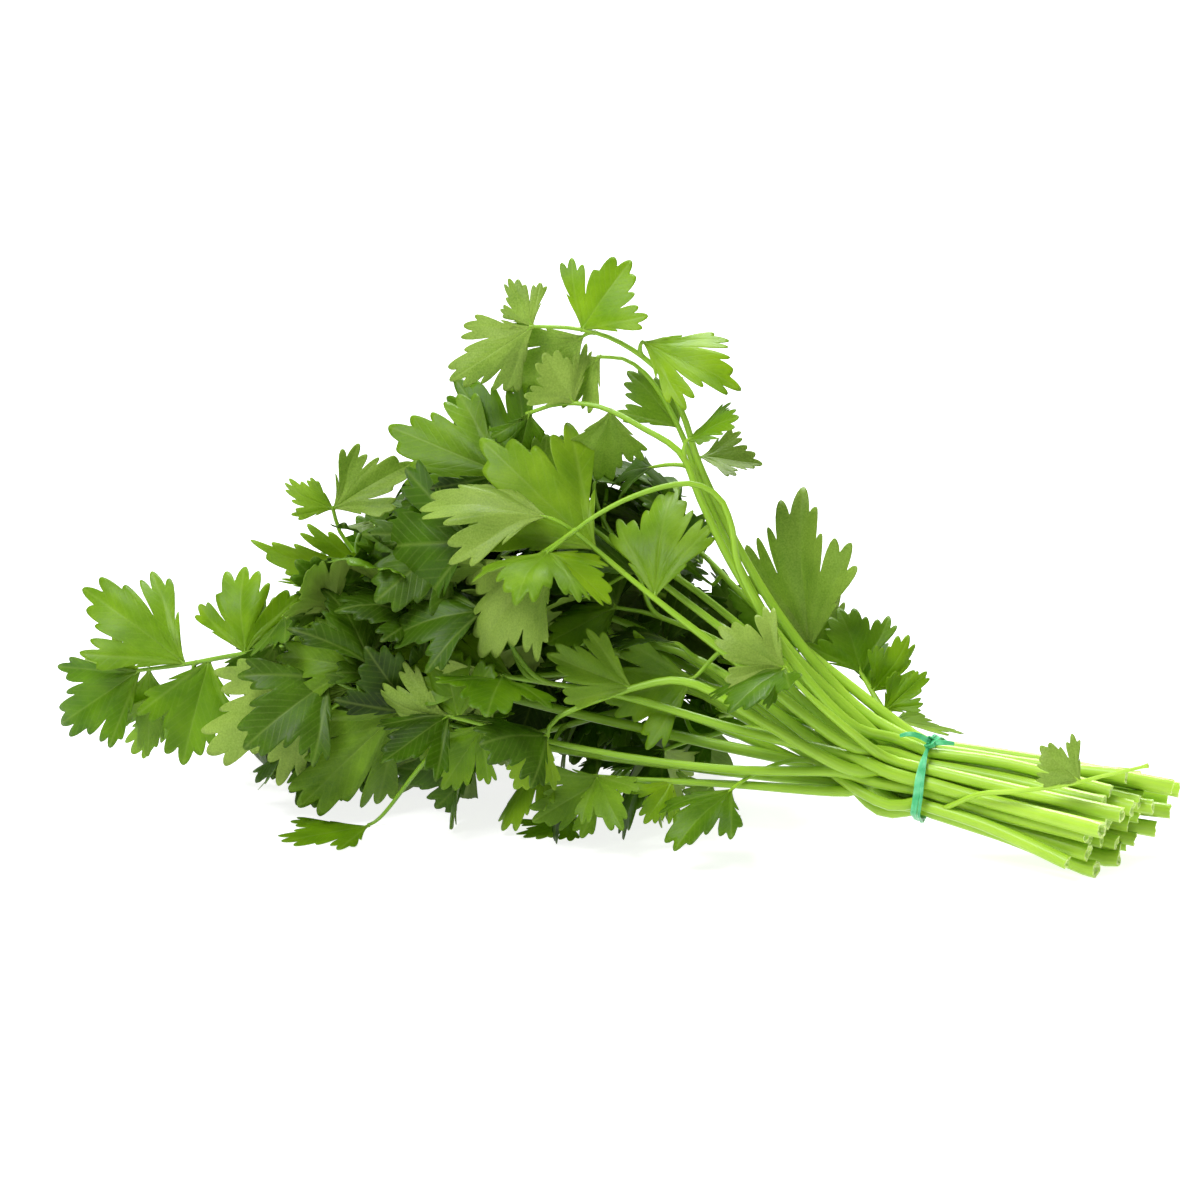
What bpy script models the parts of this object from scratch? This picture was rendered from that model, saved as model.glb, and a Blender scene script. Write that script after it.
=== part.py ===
"""A tied bunch of flat-leaf parsley, lying on its side on a flat surface.

Some thirty leafy stems run through one thin green tie. To the right of the tie their cut ends
fan out on the surface, and to the left they spread into an arching head of lobed leaflets.
Each leafy stem grew as one piece, so its stalk, branches and leaflets are fused into one solid.

Lengths are in millimetres up to the last step, where each solid is made in metres.
"""

import math
from collections import namedtuple

import bmesh
import bpy
import numpy as np
from mathutils.bvhtree import BVHTree

MM = 0.001

# The bunch as it lies: seen from slightly above, its cut ends turned a little to the front
VIEW_TILT = math.radians(16)
YAW = math.radians(17)
PITCH = math.radians(8.5)
TIE_HEIGHT = 23.0
TIE_ACROSS = 2.0
CUT_LENGTH = 63.0
CUT_LENGTH_MORE = (-9, 4)
CUT_LENGTH_BY_PLACE = (0.4, 0.35)
CUT_BEND = 2.4

# Stems
STEM_COUNT = 32
STEM_RADIUS = 1.45
CUT_RADIUS = 1.8
TIP_RADIUS = 0.75
BRANCH_RADIUS = 0.65
SLOT_PITCH = 3.85
BUNDLE_FLATNESS = 1.25
CUT_SPREAD = (2.0, 1.45)
OUTERMOST = 11.5
OUTERMOST_SLOPE = 0.8
POINT_SPACING = 4.0
BRANCH_SPACING = 2.0
SETTLE_ROUNDS = 240
GAP = 1.1
BUNDLE_STRAIGHT = 0.25
HEAD_STRAIGHT = 0.45
NECK_POINTS = 10
BRANCH_STRAIGHT = 0.5
BRANCH_BACK = 0.7
BARE_POINTS = 6

# Leaflets
BLADE = 0.7
NECK = 2.2
NECK_HALF_WIDTH = 0.42
NECK_OUT = 2.6
NECK_CLEAR = 3.6
ROOM = 0.95
ROOT_FREE = 6.0
FAR_APART = 110
LOWEST = 0.45
HIDDEN_LEAFLETS = 5
HIDDEN_LENGTH = (24, 33)
HIDDEN_REACH = (7, 30)
HIDDEN_JOINTS = (0.9, 0.78, 0.66, 0.55)
HEAD_LEFT = -206
TRIES = 50
SHOWN_TRIES = 60
SLIP_PER_TRY = 0.35
ROLL_PER_TRY = 0.6
SEAT = 3.0
SEATED_NECK = 0.3
SEED = 11

# The tie
BAND_RADIUS = 0.55
BAND_TURN_STEPS = 24
TAIL_RADIUS = 0.5
KNOT_RADIUS = 1.25
KNOT_AROUND = math.radians(118)

AXIS = np.array(
    [
        math.cos(YAW) * math.cos(PITCH),
        -math.sin(YAW) * math.cos(PITCH),
        -math.sin(PITCH),
    ]
)
SIDEWAYS = np.array([math.sin(YAW), math.cos(YAW), 0.0])
UPWARDS = np.cross(AXIS, SIDEWAYS)
TO_VIEWER = np.array([0.0, -math.cos(VIEW_TILT), math.sin(VIEW_TILT)])
TIE_CENTRE = np.array([TIE_ACROSS, 0.0, TIE_HEIGHT])

Leaflet = namedtuple("Leaflet", "base tip width roll")

# One half of a leaflet's edge, from the lowest tooth round to the tip: degrees from the midrib
# and distance from the base as a share of the length, on a leaflet as wide as it is long
TOOTHED = ((61, 0.52), (46, 0.77), (38, 0.62), (31, 0.78), (25, 0.42), (17, 0.84), (9, 0.83))
PLAIN = ((58, 0.54), (41, 0.80), (25, 0.43))

# The stems that the front view shows one by one. Each route is across, up and behind the
# bunch's middle, from the tie; each leaflet has its base, its tip, its width and its roll
SHOWN = {
    "arch_tall": (
        [(-21, 22, 4), (-39, 43, 6), (-54, 67, 6), (-66, 92, 5), (-71, 107, 4),
         (-78, 120, 2), (-90, 129, 0), (-102, 133, -2), (-117, 134, -4)],
        [Leaflet((-101, 134, -2), (-90, 151, 0), 22, 10),
         Leaflet((-83, 129, 0), (-56, 116, -4), 20, 20),
         Leaflet((-117, 134, -4), (-124, 147, -2), 12, 20),
         Leaflet((-118, 134, -4), (-139, 119, -8), 18, 0),
         Leaflet((-101, 131, 0), (-123, 116, 4), 20, -10)],
    ),
    "arch_inner": (
        [(-22, 20, 8), (-42, 42, 10), (-56, 66, 11), (-66, 88, 11), (-72, 103, 10),
         (-80, 117, 8), (-88, 124, 6), (-97, 125, 5)],
        [Leaflet((-97, 125, 5), (-110, 112, 2), 15, 0),
         Leaflet((-74, 103, 9), (-87, 120, 14), 17, -20),
         Leaflet((-66, 95, 10), (-49, 96, 6), 14, 55)],
    ),
    "arch_low": (
        [(-20, 18, -2), (-40, 38, -4), (-56, 62, -6), (-66, 82, -6), (-72, 96, -6),
         (-84, 104, -5), (-96, 110, -4), (-108, 111, -3), (-118, 108, -3)],
        [Leaflet((-118, 108, -3), (-121, 94, -6), 14, 20),
         Leaflet((-104, 111, -3), (-112, 124, 4), 17, 0),
         Leaflet((-70, 100, -6), (-55, 105, -9), 15, 60),
         Leaflet((-92, 107, -3), (-96, 86, 2), 18, 10)],
    ),
    "bent_over": (
        [(-22, 16, -12), (-40, 36, -14), (-54, 60, -15), (-57, 74, -15), (-61, 83, -15),
         (-70, 87, -17), (-84, 84, -22), (-98, 77, -28), (-112, 66, -32)],
        [Leaflet((-112, 66, -32), (-93, 57, -36), 15, 45),
         Leaflet((-113, 64, -32), (-133, 37, -37), 27, -15)],
    ),
    "upright": (
        [(-18, 14, 14), (-30, 30, 20), (-33, 38, 22)],
        [Leaflet((-33, 38, 22), (-37, 83, 27), 26, 25),
         Leaflet((-30, 34, 22), (-26, 58, 33), 18, -10)],
    ),
    "right_back": (
        [(-8, 14, 16), (-14, 24, 22), (-18, 31, 25)],
        [Leaflet((-18, 31, 25), (-23, 49, 30), 20, 10),
         Leaflet((-14, 24, 23), (-3, 40, 28), 14, -20),
         Leaflet((-8, 15, 18), (13, 16, 16), 13, 50)],
    ),
    "crest_left": (
        [(-24, 12, -6), (-50, 36, -8), (-78, 58, -8), (-104, 78, -8), (-124, 90, -8)],
        [Leaflet((-124, 90, -8), (-158, 104, -12), 27, 0),
         Leaflet((-118, 87, -6), (-138, 117, 2), 24, 10)],
    ),
    "crest_middle": (
        [(-24, 10, -16), (-50, 30, -18), (-76, 50, -20), (-98, 68, -21)],
        [Leaflet((-98, 68, -21), (-130, 99, -20), 31, 0),
         Leaflet((-112, 77, -31), (-147, 84, -37), 24, -40),
         Leaflet((-80, 53, -19), (-77, 88, -10), 22, 10)],
    ),
    "left_top": (
        [(-26, 8, 6), (-60, 24, 10), (-100, 42, 12), (-140, 54, 10), (-164, 62, 6),
         (-174, 72, 4), (-177, 81, 4)],
        [Leaflet((-177, 81, 4), (-157, 94, 8), 17, 15),
         Leaflet((-177, 81, 4), (-191, 86, 0), 12, 35),
         Leaflet((-160, 60, 6), (-166, 80, 12), 20, 0),
         Leaflet((-164, 62, 6), (-197, 63, -2), 22, 20)],
    ),
    "left_far": (
        [(-26, 2, -2), (-64, 10, -6), (-110, 20, -10), (-150, 30, -12), (-185, 38, -12),
         (-205, 36, -12), (-222, 33, -12), (-237, 31, -12)],
        [Leaflet((-222, 33, -12), (-252, 56, -8), 25, 0),
         Leaflet((-205, 36, -12), (-206, 61, -6), 25, 15),
         Leaflet((-237, 31, -12), (-262, 14, -17), 22, 0),
         Leaflet((-214, 34, -12), (-224, 4, -17), 24, -10)],
    ),
    "left_low": (
        [(-26, -2, -8), (-64, 2, -14), (-110, 8, -20), (-150, 18, -24), (-178, 29, -26)],
        [Leaflet((-178, 29, -26), (-214, 8, -32), 26, -20),
         Leaflet((-170, 26, -25), (-192, 44, -20), 22, 10),
         Leaflet((-158, 20, -25), (-185, -9, -37), 27, 10)],
    ),
    "wavy": (
        [(-24, 4, -18), (-50, 18, -22), (-69, 28, -24), (-84, 27, -27), (-108, 18, -34),
         (-112, 11, -38)],
        [Leaflet((-112, 11, -38), (-121, -3, -42), 15, 0),
         Leaflet((-87, 29, -28), (-110, 36, -35), 17, -4)],
    ),
    "pale_side": (
        [(-26, 6, -14), (-56, 14, -18), (-90, 24, -22), (-126, 30, -28)],
        [Leaflet((-126, 30, -28), (-145, 19, -34), 18, 10),
         Leaflet((-122, 29, -27), (-158, 42, -26), 22, 0)],
    ),
    "curled_side": (
        [(-26, 0, -12), (-60, 2, -22), (-100, 8, -28), (-142, 18, -34)],
        [Leaflet((-142, 18, -34), (-163, 20, -38), 15, 40),
         Leaflet((-130, 14, -32), (-144, -4, -36), 17, 0)],
    ),
    "under_front": (
        [(-26, -3, -12), (-56, -2, -19), (-84, -1, -25), (-98, 0, -27)],
        [Leaflet((-98, 0, -27), (-91, -13, -30), 15, 0),
         Leaflet((-62, -2, -20), (-70, -11, -24), 16, 0)],
    ),
    "near_fan": (
        [(-20, 12, -18), (-34, 24, -22), (-42, 33, -24)],
        [Leaflet((-42, 33, -24), (-60, 43, -28), 18, 10),
         Leaflet((-42, 33, -24), (-54, 22, -27), 9, 0)],
    ),
}

# Leaflets that lie flat on the surface and carry the head: x and y of the base and the tip,
# the width, and the stem that each grows on
RESTING = (
    ((-166, 22), (-190, 8), 25, "left_low"),
    ((-104, 26), (-118, 12), 18, "under_front"),
    ((-128, 92), (-150, 112), 27, "back_low"),
    ((-70, 74), (-88, 92), 24, "back_near"),
)

# Stems that end behind the front ones: the route's last point, as x, y and z
HIDDEN = {
    "back_low": (-126, 84, 16),
    "back_near": (-72, 64, 18),
    "back_high": (-104, 74, 66),
    "back_left": (-168, 100, 34),
    "back_crest": (-78, 52, 86),
    "middle_high": (-120, 52, 92),
    "middle_left": (-160, 62, 58),
    "middle_far": (-182, 74, 36),
    "middle_core": (-116, 32, 56),
    "middle_deep": (-142, 50, 34),
    "middle_near": (-92, 26, 68),
    "low_core": (-134, 36, 18),
    "low_back": (-152, 84, 18),
    "low_near": (-78, 22, 24),
    "fan_back": (-60, 44, 46),
    "fan_high": (-84, 50, 66),
}

# A thin side shoot with one small leaflet, which lies across the front of the cut stems
SHOOT_STEM = "low_near"
SHOOT_PATH = ((16, -5, -16), (26, -4, -18), (40, -2, -21), (52, 1, -23), (64, 4, -24))
SHOOT_LEAFLET = Leaflet((46, -1, -22), (34, 9, -20), 13, 15)
SHOOT_FROM_TIE = 2
SHOOT_STEPS = 24
SHOOT_STEP = 0.5

# The most that a leaflet of a hidden stem may rise, as x and height
HEAD_TOP = (
    (-215, 52), (-190, 64), (-165, 88), (-140, 100), (-118, 104), (-96, 96),
    (-78, 84), (-62, 66), (-44, 48), (-24, 36),
)


def unit(vector):
    return vector / np.linalg.norm(vector)


def seen_at(across, up, behind):
    """The point that the front view shows there, at that depth behind the bunch's middle."""
    back = behind - across * math.tan(YAW)
    height = (up - back * math.sin(VIEW_TILT)) / math.cos(VIEW_TILT)
    return np.array([across, back, TIE_HEIGHT + height])


def tie_slots():
    """Where each stem passes the tie: close-packed places in six rows, wider than high."""
    places = []
    for row in range(-5, 6):
        for column in range(-5, 6):
            sideways = (column + 0.5 * (row % 2) + 0.2) * SLOT_PITCH
            upwards = (row + 0.5) * math.sqrt(0.75) * SLOT_PITCH
            places.append((math.hypot(sideways / BUNDLE_FLATNESS, upwards), sideways, upwards))
    return [(place[1], place[2]) for place in sorted(places)[:STEM_COUNT]]


def smooth_through(points, spacing):
    """Evenly spaced points on a Catmull-Rom curve through the given ones."""
    points = np.asarray(points, float)
    padded = np.vstack([2 * points[0] - points[1], points, 2 * points[-1] - points[-2]])
    dense = []
    for a, b, c, d in zip(padded, padded[1:], padded[2:], padded[3:]):
        for t in np.linspace(0, 1, 12, endpoint=False):
            dense.append(
                0.5 * (2 * b + (c - a) * t + (2 * a - 5 * b + 4 * c - d) * t**2
                       + (3 * b - a - 3 * c + d) * t**3)
            )
    dense = np.vstack(dense + [points[-1]])
    along = np.concatenate([[0], np.cumsum(np.linalg.norm(np.diff(dense, axis=0), axis=1))])
    wanted = np.linspace(0, along[-1], max(4, round(along[-1] / spacing)) + 1)
    return np.column_stack([np.interp(wanted, along, dense[:, k]) for k in range(3)])


def simplified(points, tolerance):
    """The few of these points that keep the route within the tolerance."""
    if len(points) < 3:
        return [0, len(points) - 1][: len(points)]
    chord = points[-1] - points[0]
    share = np.clip((points - points[0]) @ chord / (chord @ chord), 0, 1)
    away = np.linalg.norm(points - points[0] - share[:, None] * chord, axis=1)
    worst = int(away.argmax())
    if away[worst] < tolerance:
        return [0, len(points) - 1]
    left = simplified(points[: worst + 1], tolerance)
    right = simplified(points[worst:], tolerance)
    return left[:-1] + [worst + index for index in right]


def head_routes():
    """Each stem's route to the left of the tie, as world points, by name."""
    routes = {name: [seen_at(*point) for point in shown[0]] for name, shown in SHOWN.items()}
    for name, end in HIDDEN.items():
        end = np.array(end, float)
        start = TIE_CENTRE - 24 * AXIS
        span = end - start
        rise = np.array([0, 0, 0.12 * np.linalg.norm(span)])
        routes[name] = [start + 0.45 * span + rise, start + 0.8 * span + 0.6 * rise, end]
    return routes


def slot_for_each(routes, slots):
    """Gives each stem the free slot that lies most nearly the way it leaves."""
    leaving = {}
    for name, route in routes.items():
        from_tie = route[1] - TIE_CENTRE
        slope = np.array([from_tie @ SIDEWAYS, from_tie @ UPWARDS]) / -(from_tie @ AXIS)
        leaving[name] = slope * OUTERMOST / max(OUTERMOST_SLOPE, np.linalg.norm(slope))
    free = list(slots)
    chosen = {}
    for name in sorted(leaving, key=lambda each: -np.linalg.norm(leaving[each])):
        place = min(free, key=lambda slot: math.dist(slot, leaving[name]))
        free.remove(place)
        chosen[name] = place
    return chosen


def stem_routes(rng):
    """Whole routes, cut end first, and the index of the point that each has at the tie."""
    heads = head_routes()
    slots = slot_for_each(heads, tie_slots())
    bends = np.random.default_rng(SEED + 1)
    routes, at_tie = {}, {}
    for name, head in heads.items():
        sideways, upwards = slots[name]
        offset = sideways * SIDEWAYS + upwards * UPWARDS
        slot = TIE_CENTRE + offset
        by_place = np.dot(CUT_LENGTH_BY_PLACE, (sideways, upwards))
        length = CUT_LENGTH + rng.uniform(*CUT_LENGTH_MORE) + by_place
        aside, over = bends.uniform(-1, 1, 2) * CUT_BEND
        bend = aside * SIDEWAYS + over * UPWARDS
        spread = CUT_SPREAD[0] * sideways * SIDEWAYS + CUT_SPREAD[1] * upwards * UPWARDS
        cut = TIE_CENTRE + length * AXIS + spread + bend
        middle = TIE_CENTRE + 0.45 * length * AXIS + 1.25 * offset - 0.3 * bend
        leave = slot - 11 * AXIS + 0.25 * offset
        right = smooth_through([cut, middle, slot], POINT_SPACING)
        left = smooth_through([slot, leave] + head, POINT_SPACING)
        routes[name] = np.vstack([right, left[1:]])
        at_tie[name] = len(right) - 1
    return routes, at_tie


def radii_along(route, tie_index):
    """Thickest where the stem is cut, with an even taper from the tie to the tip."""
    along = np.arange(len(route)) - tie_index
    head = np.clip(along / (len(route) - 1 - tie_index), 0, 1)
    cut = np.clip(-along / tie_index, 0, 1)
    return STEM_RADIUS + (TIP_RADIUS - STEM_RADIUS) * head + (CUT_RADIUS - STEM_RADIUS) * cut


def kept_points(route, at_tie):
    """The points that a stem's tube needs: closer in the crowded neck than in the head."""
    split = min(at_tie + NECK_POINTS, len(route) - 2)
    neck = simplified(route[: split + 1], BUNDLE_STRAIGHT)
    head = simplified(route[split:], HEAD_STRAIGHT)
    return neck[:-1] + [split + index for index in head]


def settled(routes, at_tie):
    """Pushes the stems apart until each has its gap to the others and lies above the surface."""
    names = list(routes)
    start = np.vstack([routes[name] for name in names])
    owner = np.concatenate([np.full(len(routes[name]), k) for k, name in enumerate(names)])
    radius = np.concatenate([radii_along(routes[name], at_tie[name]) for name in names])
    pinned = np.zeros(len(start), bool)
    first = 0
    for name in names:
        pinned[first + at_tie[name]] = True
        first += len(routes[name])
    reach = radius[:, None] + radius[None, :] + GAP
    reach = np.hypot(reach, 0.5 * GAP)
    apart = owner[:, None] < owner[None, :]
    same_before = np.concatenate([[False], owner[1:] == owner[:-1]])
    same_after = np.concatenate([owner[1:] == owner[:-1], [False]])
    shift = np.zeros_like(start)
    for done in range(SETTLE_ROUNDS):
        now = start + shift
        square = (now**2).sum(axis=1)
        near = square[:, None] + square[None, :] - 2 * now @ now.T
        one, other = np.nonzero((near < reach**2) & apart)
        between = now[one] - now[other]
        distance = np.maximum(np.linalg.norm(between, axis=1), 1e-3)
        push = (0.5 * (reach[one, other] - distance) / distance)[:, None] * between
        np.add.at(shift, one, push)
        np.add.at(shift, other, -push)
        before = np.where(same_before[:, None], np.roll(shift, 1, axis=0), shift)
        after = np.where(same_after[:, None], np.roll(shift, -1, axis=0), shift)
        spread = 0.22 * (1 - done / SETTLE_ROUNDS) + 0.01
        shift = (1 - 2 * spread) * shift + spread * (before + after)
        shift[pinned] = 0
        lowest = radius - (start + shift)[:, 2]
        shift[:, 2] += np.maximum(lowest, 0)
    now = start + shift
    return {name: now[owner == k] for k, name in enumerate(names)}


class Sheet:
    """A leaflet's middle surface: points, triangles and the direction that it faces."""

    def __init__(self, base, tip, width, roll, cup=0.0, droop=0.0, outline=TOOTHED, facing=None,
                 neck=NECK):
        self.base, self.tip = np.asarray(base, float), np.asarray(tip, float)
        self.length = np.linalg.norm(self.tip - self.base)
        forward = (self.tip - self.base) / self.length
        facing = TO_VIEWER if facing is None else facing
        normal = unit(facing - (facing @ forward) * forward)
        sideways = np.cross(normal, forward)
        self.normal = math.cos(roll) * normal + math.sin(roll) * sideways
        self.sideways = np.cross(self.normal, forward)
        self.forward, self.cup, self.droop = forward, cup, droop
        right = [(-neck, NECK_HALF_WIDTH), (NECK_OUT, NECK_HALF_WIDTH)]
        for degrees, share in outline:
            angle = math.radians(degrees)
            right.append((share * self.length * math.cos(angle), share * width * math.sin(angle)))
        left = [(x, -y) for x, y in reversed(right)]
        flat = right + [(self.length, 0.0)] + left
        self.points = np.array([self.point(x, y) for x, y in flat])
        clear = [(max(x, NECK_CLEAR), y) for x, y in flat]
        self.outer_points = np.array([self.point(x, y) for x, y in clear])
        self.triangles = self.fan(len(flat), len(right))

    def point(self, x, y):
        """The place on the blade that lies x along it and y to its side."""
        out = math.hypot(max(x, 0), y) / self.length
        height = self.cup * abs(y) - self.droop * self.length * out**2
        return self.base + x * self.forward + y * self.sideways + height * self.normal

    @staticmethod
    def fan(count, tip):
        """Triangles alike on both halves, from the neck out to each stretch of the edge."""
        last = count - 1
        right = [(1, k, k + 1) for k in range(2, tip)]
        left = [(last - 1, k, k + 1) for k in range(tip, last - 2)]
        return [(0, 1, last - 1), (0, last - 1, last)] + right + [(1, tip, last - 1)] + left

    def slab(self, points, half):
        """A closed shape this much thicker than the sheet on each side, to test for room."""
        count = len(points)
        points = np.vstack([points + half * self.normal, points - half * self.normal])
        faces = list(self.triangles)
        faces += [(c + count, b + count, a + count) for a, b, c in self.triangles]
        for k in range(count):
            after = (k + 1) % count
            faces += [(k, k + count, after + count), (k, after + count, after)]
        return BVHTree.FromPolygons(points.tolist(), faces)


class Crowd:
    """Everything that is placed, so that what comes next keeps clear of it."""

    def __init__(self):
        self.rods, self.sheets = [], []

    def add_rod(self, owner, points, radii):
        self.rods.append((owner, np.asarray(points), np.asarray(radii)))

    def add_sheet(self, owner, sheet):
        tree = BVHTree.FromPolygons(sheet.points.tolist(), sheet.triangles)
        slab = sheet.slab(sheet.points, BLADE / 2 + ROOM)
        self.sheets.append((owner, sheet, tree, slab))

    def rod_fits(self, owner, points, radius):
        lowest = points[:, 2].min() - radius
        if lowest < 0.05:
            return False
        for other, rod, radii in self.rods:
            if other == owner:
                continue
            apart = np.linalg.norm(points[:, None] - rod[None], axis=2)
            if (apart < radius + radii[None] + ROOM).any():
                return False
        reach = radius + BLADE / 2 + ROOM
        for other, sheet, tree, _ in self.sheets:
            if np.linalg.norm(sheet.base - points[0]) > FAR_APART:
                continue
            # The last point is the leaflet's own root, which may meet its neighbours there
            tested = points[:-1] if other == owner else points
            if any(tree.find_nearest(point, reach)[0] for point in tested.tolist()):
                return False
        return True

    def sheet_fits(self, owner, sheet):
        """Whether the leaflet is above the surface and clear of every other stem and leaflet."""
        if sheet.points[:, 2].min() < LOWEST:
            return False
        slab = sheet.slab(sheet.points, BLADE / 2 + ROOM)
        outer_slab = sheet.slab(sheet.outer_points, BLADE)
        own = BVHTree.FromPolygons(sheet.points.tolist(), sheet.triangles)
        middle = sheet.points.mean(axis=0)
        size = sheet.length
        for other, neighbour, tree, other_slab in self.sheets:
            if np.linalg.norm(neighbour.points.mean(axis=0) - middle) > size + neighbour.length:
                continue
            if other == owner and np.linalg.norm(neighbour.base - sheet.base) < NECK_CLEAR:
                outer = BVHTree.FromPolygons(neighbour.outer_points.tolist(), neighbour.triangles)
                if outer_slab.overlap(outer):
                    return False
            elif slab.overlap(tree) or other_slab.overlap(own):
                return False
        for other, rod, radii in self.rods:
            close = np.linalg.norm(rod - middle, axis=1) < size + ROOT_FREE
            if other == owner:
                close &= np.linalg.norm(rod - sheet.base, axis=1) > ROOT_FREE
            for point, radius in zip(rod[close].tolist(), radii[close]):
                reach = math.hypot(radius + BLADE / 2 + GAP, POINT_SPACING / 2)
                if own.find_nearest(point, reach)[0]:
                    return False
        return True


def seated(base, route):
    """The base, moved into the stem where it is close to it, and how long its neck is there."""
    away = np.linalg.norm(route - base, axis=1)
    nearest = int(away.argmin())
    if away[nearest] > SEAT:
        return base, NECK
    if nearest == len(route) - 1:
        return route[-1] - unit(route[-1] - route[-2]), SEATED_NECK
    return route[nearest], SEATED_NECK


def branch_to(base, heading, route, at_tie):
    """A short curved branch from the stem to a leaflet's root, or None where it sits on it."""
    away = np.linalg.norm(route - base, axis=1)
    away[: at_tie + BARE_POINTS] = np.inf
    nearest = int(away.argmin())
    if away[nearest] < SEAT / 2:
        return None
    back = int(round(BRANCH_BACK * away[nearest] / POINT_SPACING))
    joint = max(nearest - back, at_tie + BARE_POINTS - 1)
    start = route[joint]
    along = unit(route[min(joint + 1, len(route) - 1)] - route[joint - 1])
    span = np.linalg.norm(base - start)
    bend = start + 0.4 * span * along
    reach = base - 0.2 * span * heading
    steps = np.linspace(0, 1, max(6, int(2 * span / BRANCH_SPACING)))[:, None]
    points = ((1 - steps) ** 3 * start + 3 * (1 - steps) ** 2 * steps * bend
              + 3 * (1 - steps) * steps**2 * reach + steps**3 * base)
    return points


class Stem:
    """One leafy stem: its route and thickness, its branches and its leaflets."""

    def __init__(self, name, route, at_tie):
        self.name, self.route, self.at_tie = name, route, at_tie
        self.radii = radii_along(route, at_tie)
        self.branches, self.sheets = [], []

    def grow(self, crowd, sheet):
        """Adds the leaflet and its branch if there is room for both."""
        points = branch_to(sheet.base, sheet.forward, self.route, self.at_tie)
        if not crowd.sheet_fits(self.name, sheet):
            return False
        if points is not None and not crowd.rod_fits(self.name, points, BRANCH_RADIUS):
            return False
        if points is not None:
            self.branches.append(points)
            crowd.add_rod(self.name, points, np.full(len(points), BRANCH_RADIUS))
        self.sheets.append(sheet)
        crowd.add_sheet(self.name, sheet)
        return True


def grow_resting(stems, crowd):
    """The flat leaflets that carry the head, on branches that come down to them."""
    level = BLADE / 2
    for base, tip, width, name in RESTING:
        sheet = Sheet((*base, level), (*tip, level), width, 0.0, facing=np.array([0, 0, 1.0]))
        stem = stems[name]
        end = np.array([*base, level + 0.45])
        points = branch_to(end, sheet.forward, stem.route, stem.at_tie)
        points[:, 2] = np.maximum(points[:, 2], BRANCH_RADIUS + 0.12)
        stem.branches.append(points)
        stem.sheets.append(sheet)
        crowd.add_rod(name, points, np.full(len(points), BRANCH_RADIUS))
        crowd.add_sheet(name, sheet)


def grow_shown(stems, crowd, rng):
    """The leaflets that the front view shows, moved in depth or turned only as room needs."""
    for name, (_, leaflets) in SHOWN.items():
        for leaflet in leaflets:
            for attempt in range(SHOWN_TRIES):
                slip = rng.uniform(-1, 1) * SLIP_PER_TRY * attempt
                base, neck = seated(seen_at(*leaflet.base), stems[name].route)
                base = base + rng.uniform(-0.15, 0.15, 3)
                across, up, behind = leaflet.tip
                tip = seen_at(across, up, behind + slip)
                roll = math.radians(leaflet.roll + rng.uniform(-1, 1) * ROLL_PER_TRY * attempt)
                cup, droop = rng.uniform(-0.2, 0.2), rng.uniform(0.0, 0.14)
                sheet = Sheet(base, tip, leaflet.width, roll, cup, droop, neck=neck)
                if stems[name].grow(crowd, sheet):
                    break


def grow_shoot(stems, crowd):
    """The thin side shoot over the cut stems, moved to the front until it clears them."""
    stem = stems[SHOOT_STEM]
    start = stem.route[stem.at_tie - SHOOT_FROM_TIE]
    for step in range(SHOOT_STEPS):
        nearer = step * SHOOT_STEP * TO_VIEWER
        path = [start] + [seen_at(*point) + nearer for point in SHOOT_PATH]
        points = smooth_through(path, BRANCH_SPACING)
        base, tip = (seen_at(*point) + nearer for point in SHOOT_LEAFLET[:2])
        base = points[np.linalg.norm(points - base, axis=1).argmin()]
        roll = math.radians(SHOOT_LEAFLET.roll)
        sheet = Sheet(base, tip, SHOOT_LEAFLET.width, roll, outline=PLAIN, neck=SEATED_NECK)
        if crowd.rod_fits(stem.name, points, BRANCH_RADIUS) and crowd.sheet_fits(stem.name, sheet):
            stem.branches.append(points)
            stem.sheets.append(sheet)
            break


def grow_hidden(stems, crowd, rng, wanted):
    """Leaflets in threes at the tips and on opposite branches of the stems behind."""
    for name in list(HIDDEN) + list(SHOWN):
        stem = stems[name]
        count = len(stem.route)
        heading = unit(stem.route[-1] - stem.route[-5])
        goal = wanted if name in HIDDEN else int(len(SHOWN[name][1]) < 4)
        placed = 0
        for attempt in range(goal * TRIES):
            if placed >= goal:
                break
            share = 1.0 if placed < 3 else rng.choice(HIDDEN_JOINTS)
            joint = int(stem.at_tie + (count - 1 - stem.at_tie) * share)
            turn = rng.normal(size=3)
            outward = stem.route[joint] - (TIE_CENTRE + AXIS * (stem.route[joint][0] - TIE_ACROSS))
            way = unit(0.7 * heading + 0.9 * unit(turn) + 0.5 * unit(outward))
            base = stem.route[joint] + (0 if share == 1.0 else rng.uniform(*HIDDEN_REACH)) * way
            base, neck = seated(base, stem.route)
            base = base + rng.uniform(-0.15, 0.15, 3)
            length = rng.uniform(*HIDDEN_LENGTH) - 8 * attempt / (goal * TRIES)
            drop = np.array([0, 0, rng.uniform(-0.5, 0.2)])
            tip = base + length * unit(way + drop)
            top = np.interp(tip[0], *zip(*HEAD_TOP))
            if max(base[2], tip[2]) > top or tip[0] < HEAD_LEFT:
                continue
            facing = unit(outward * 0.02 + np.array([0, 0, 1.0]) + 0.6 * rng.normal(size=3))
            sheet = Sheet(base, tip, length * rng.uniform(0.75, 0.98), 0.0,
                          rng.uniform(-0.25, 0.2), rng.uniform(0.0, 0.18), PLAIN, facing, neck)
            placed += stem.grow(crowd, sheet)


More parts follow.
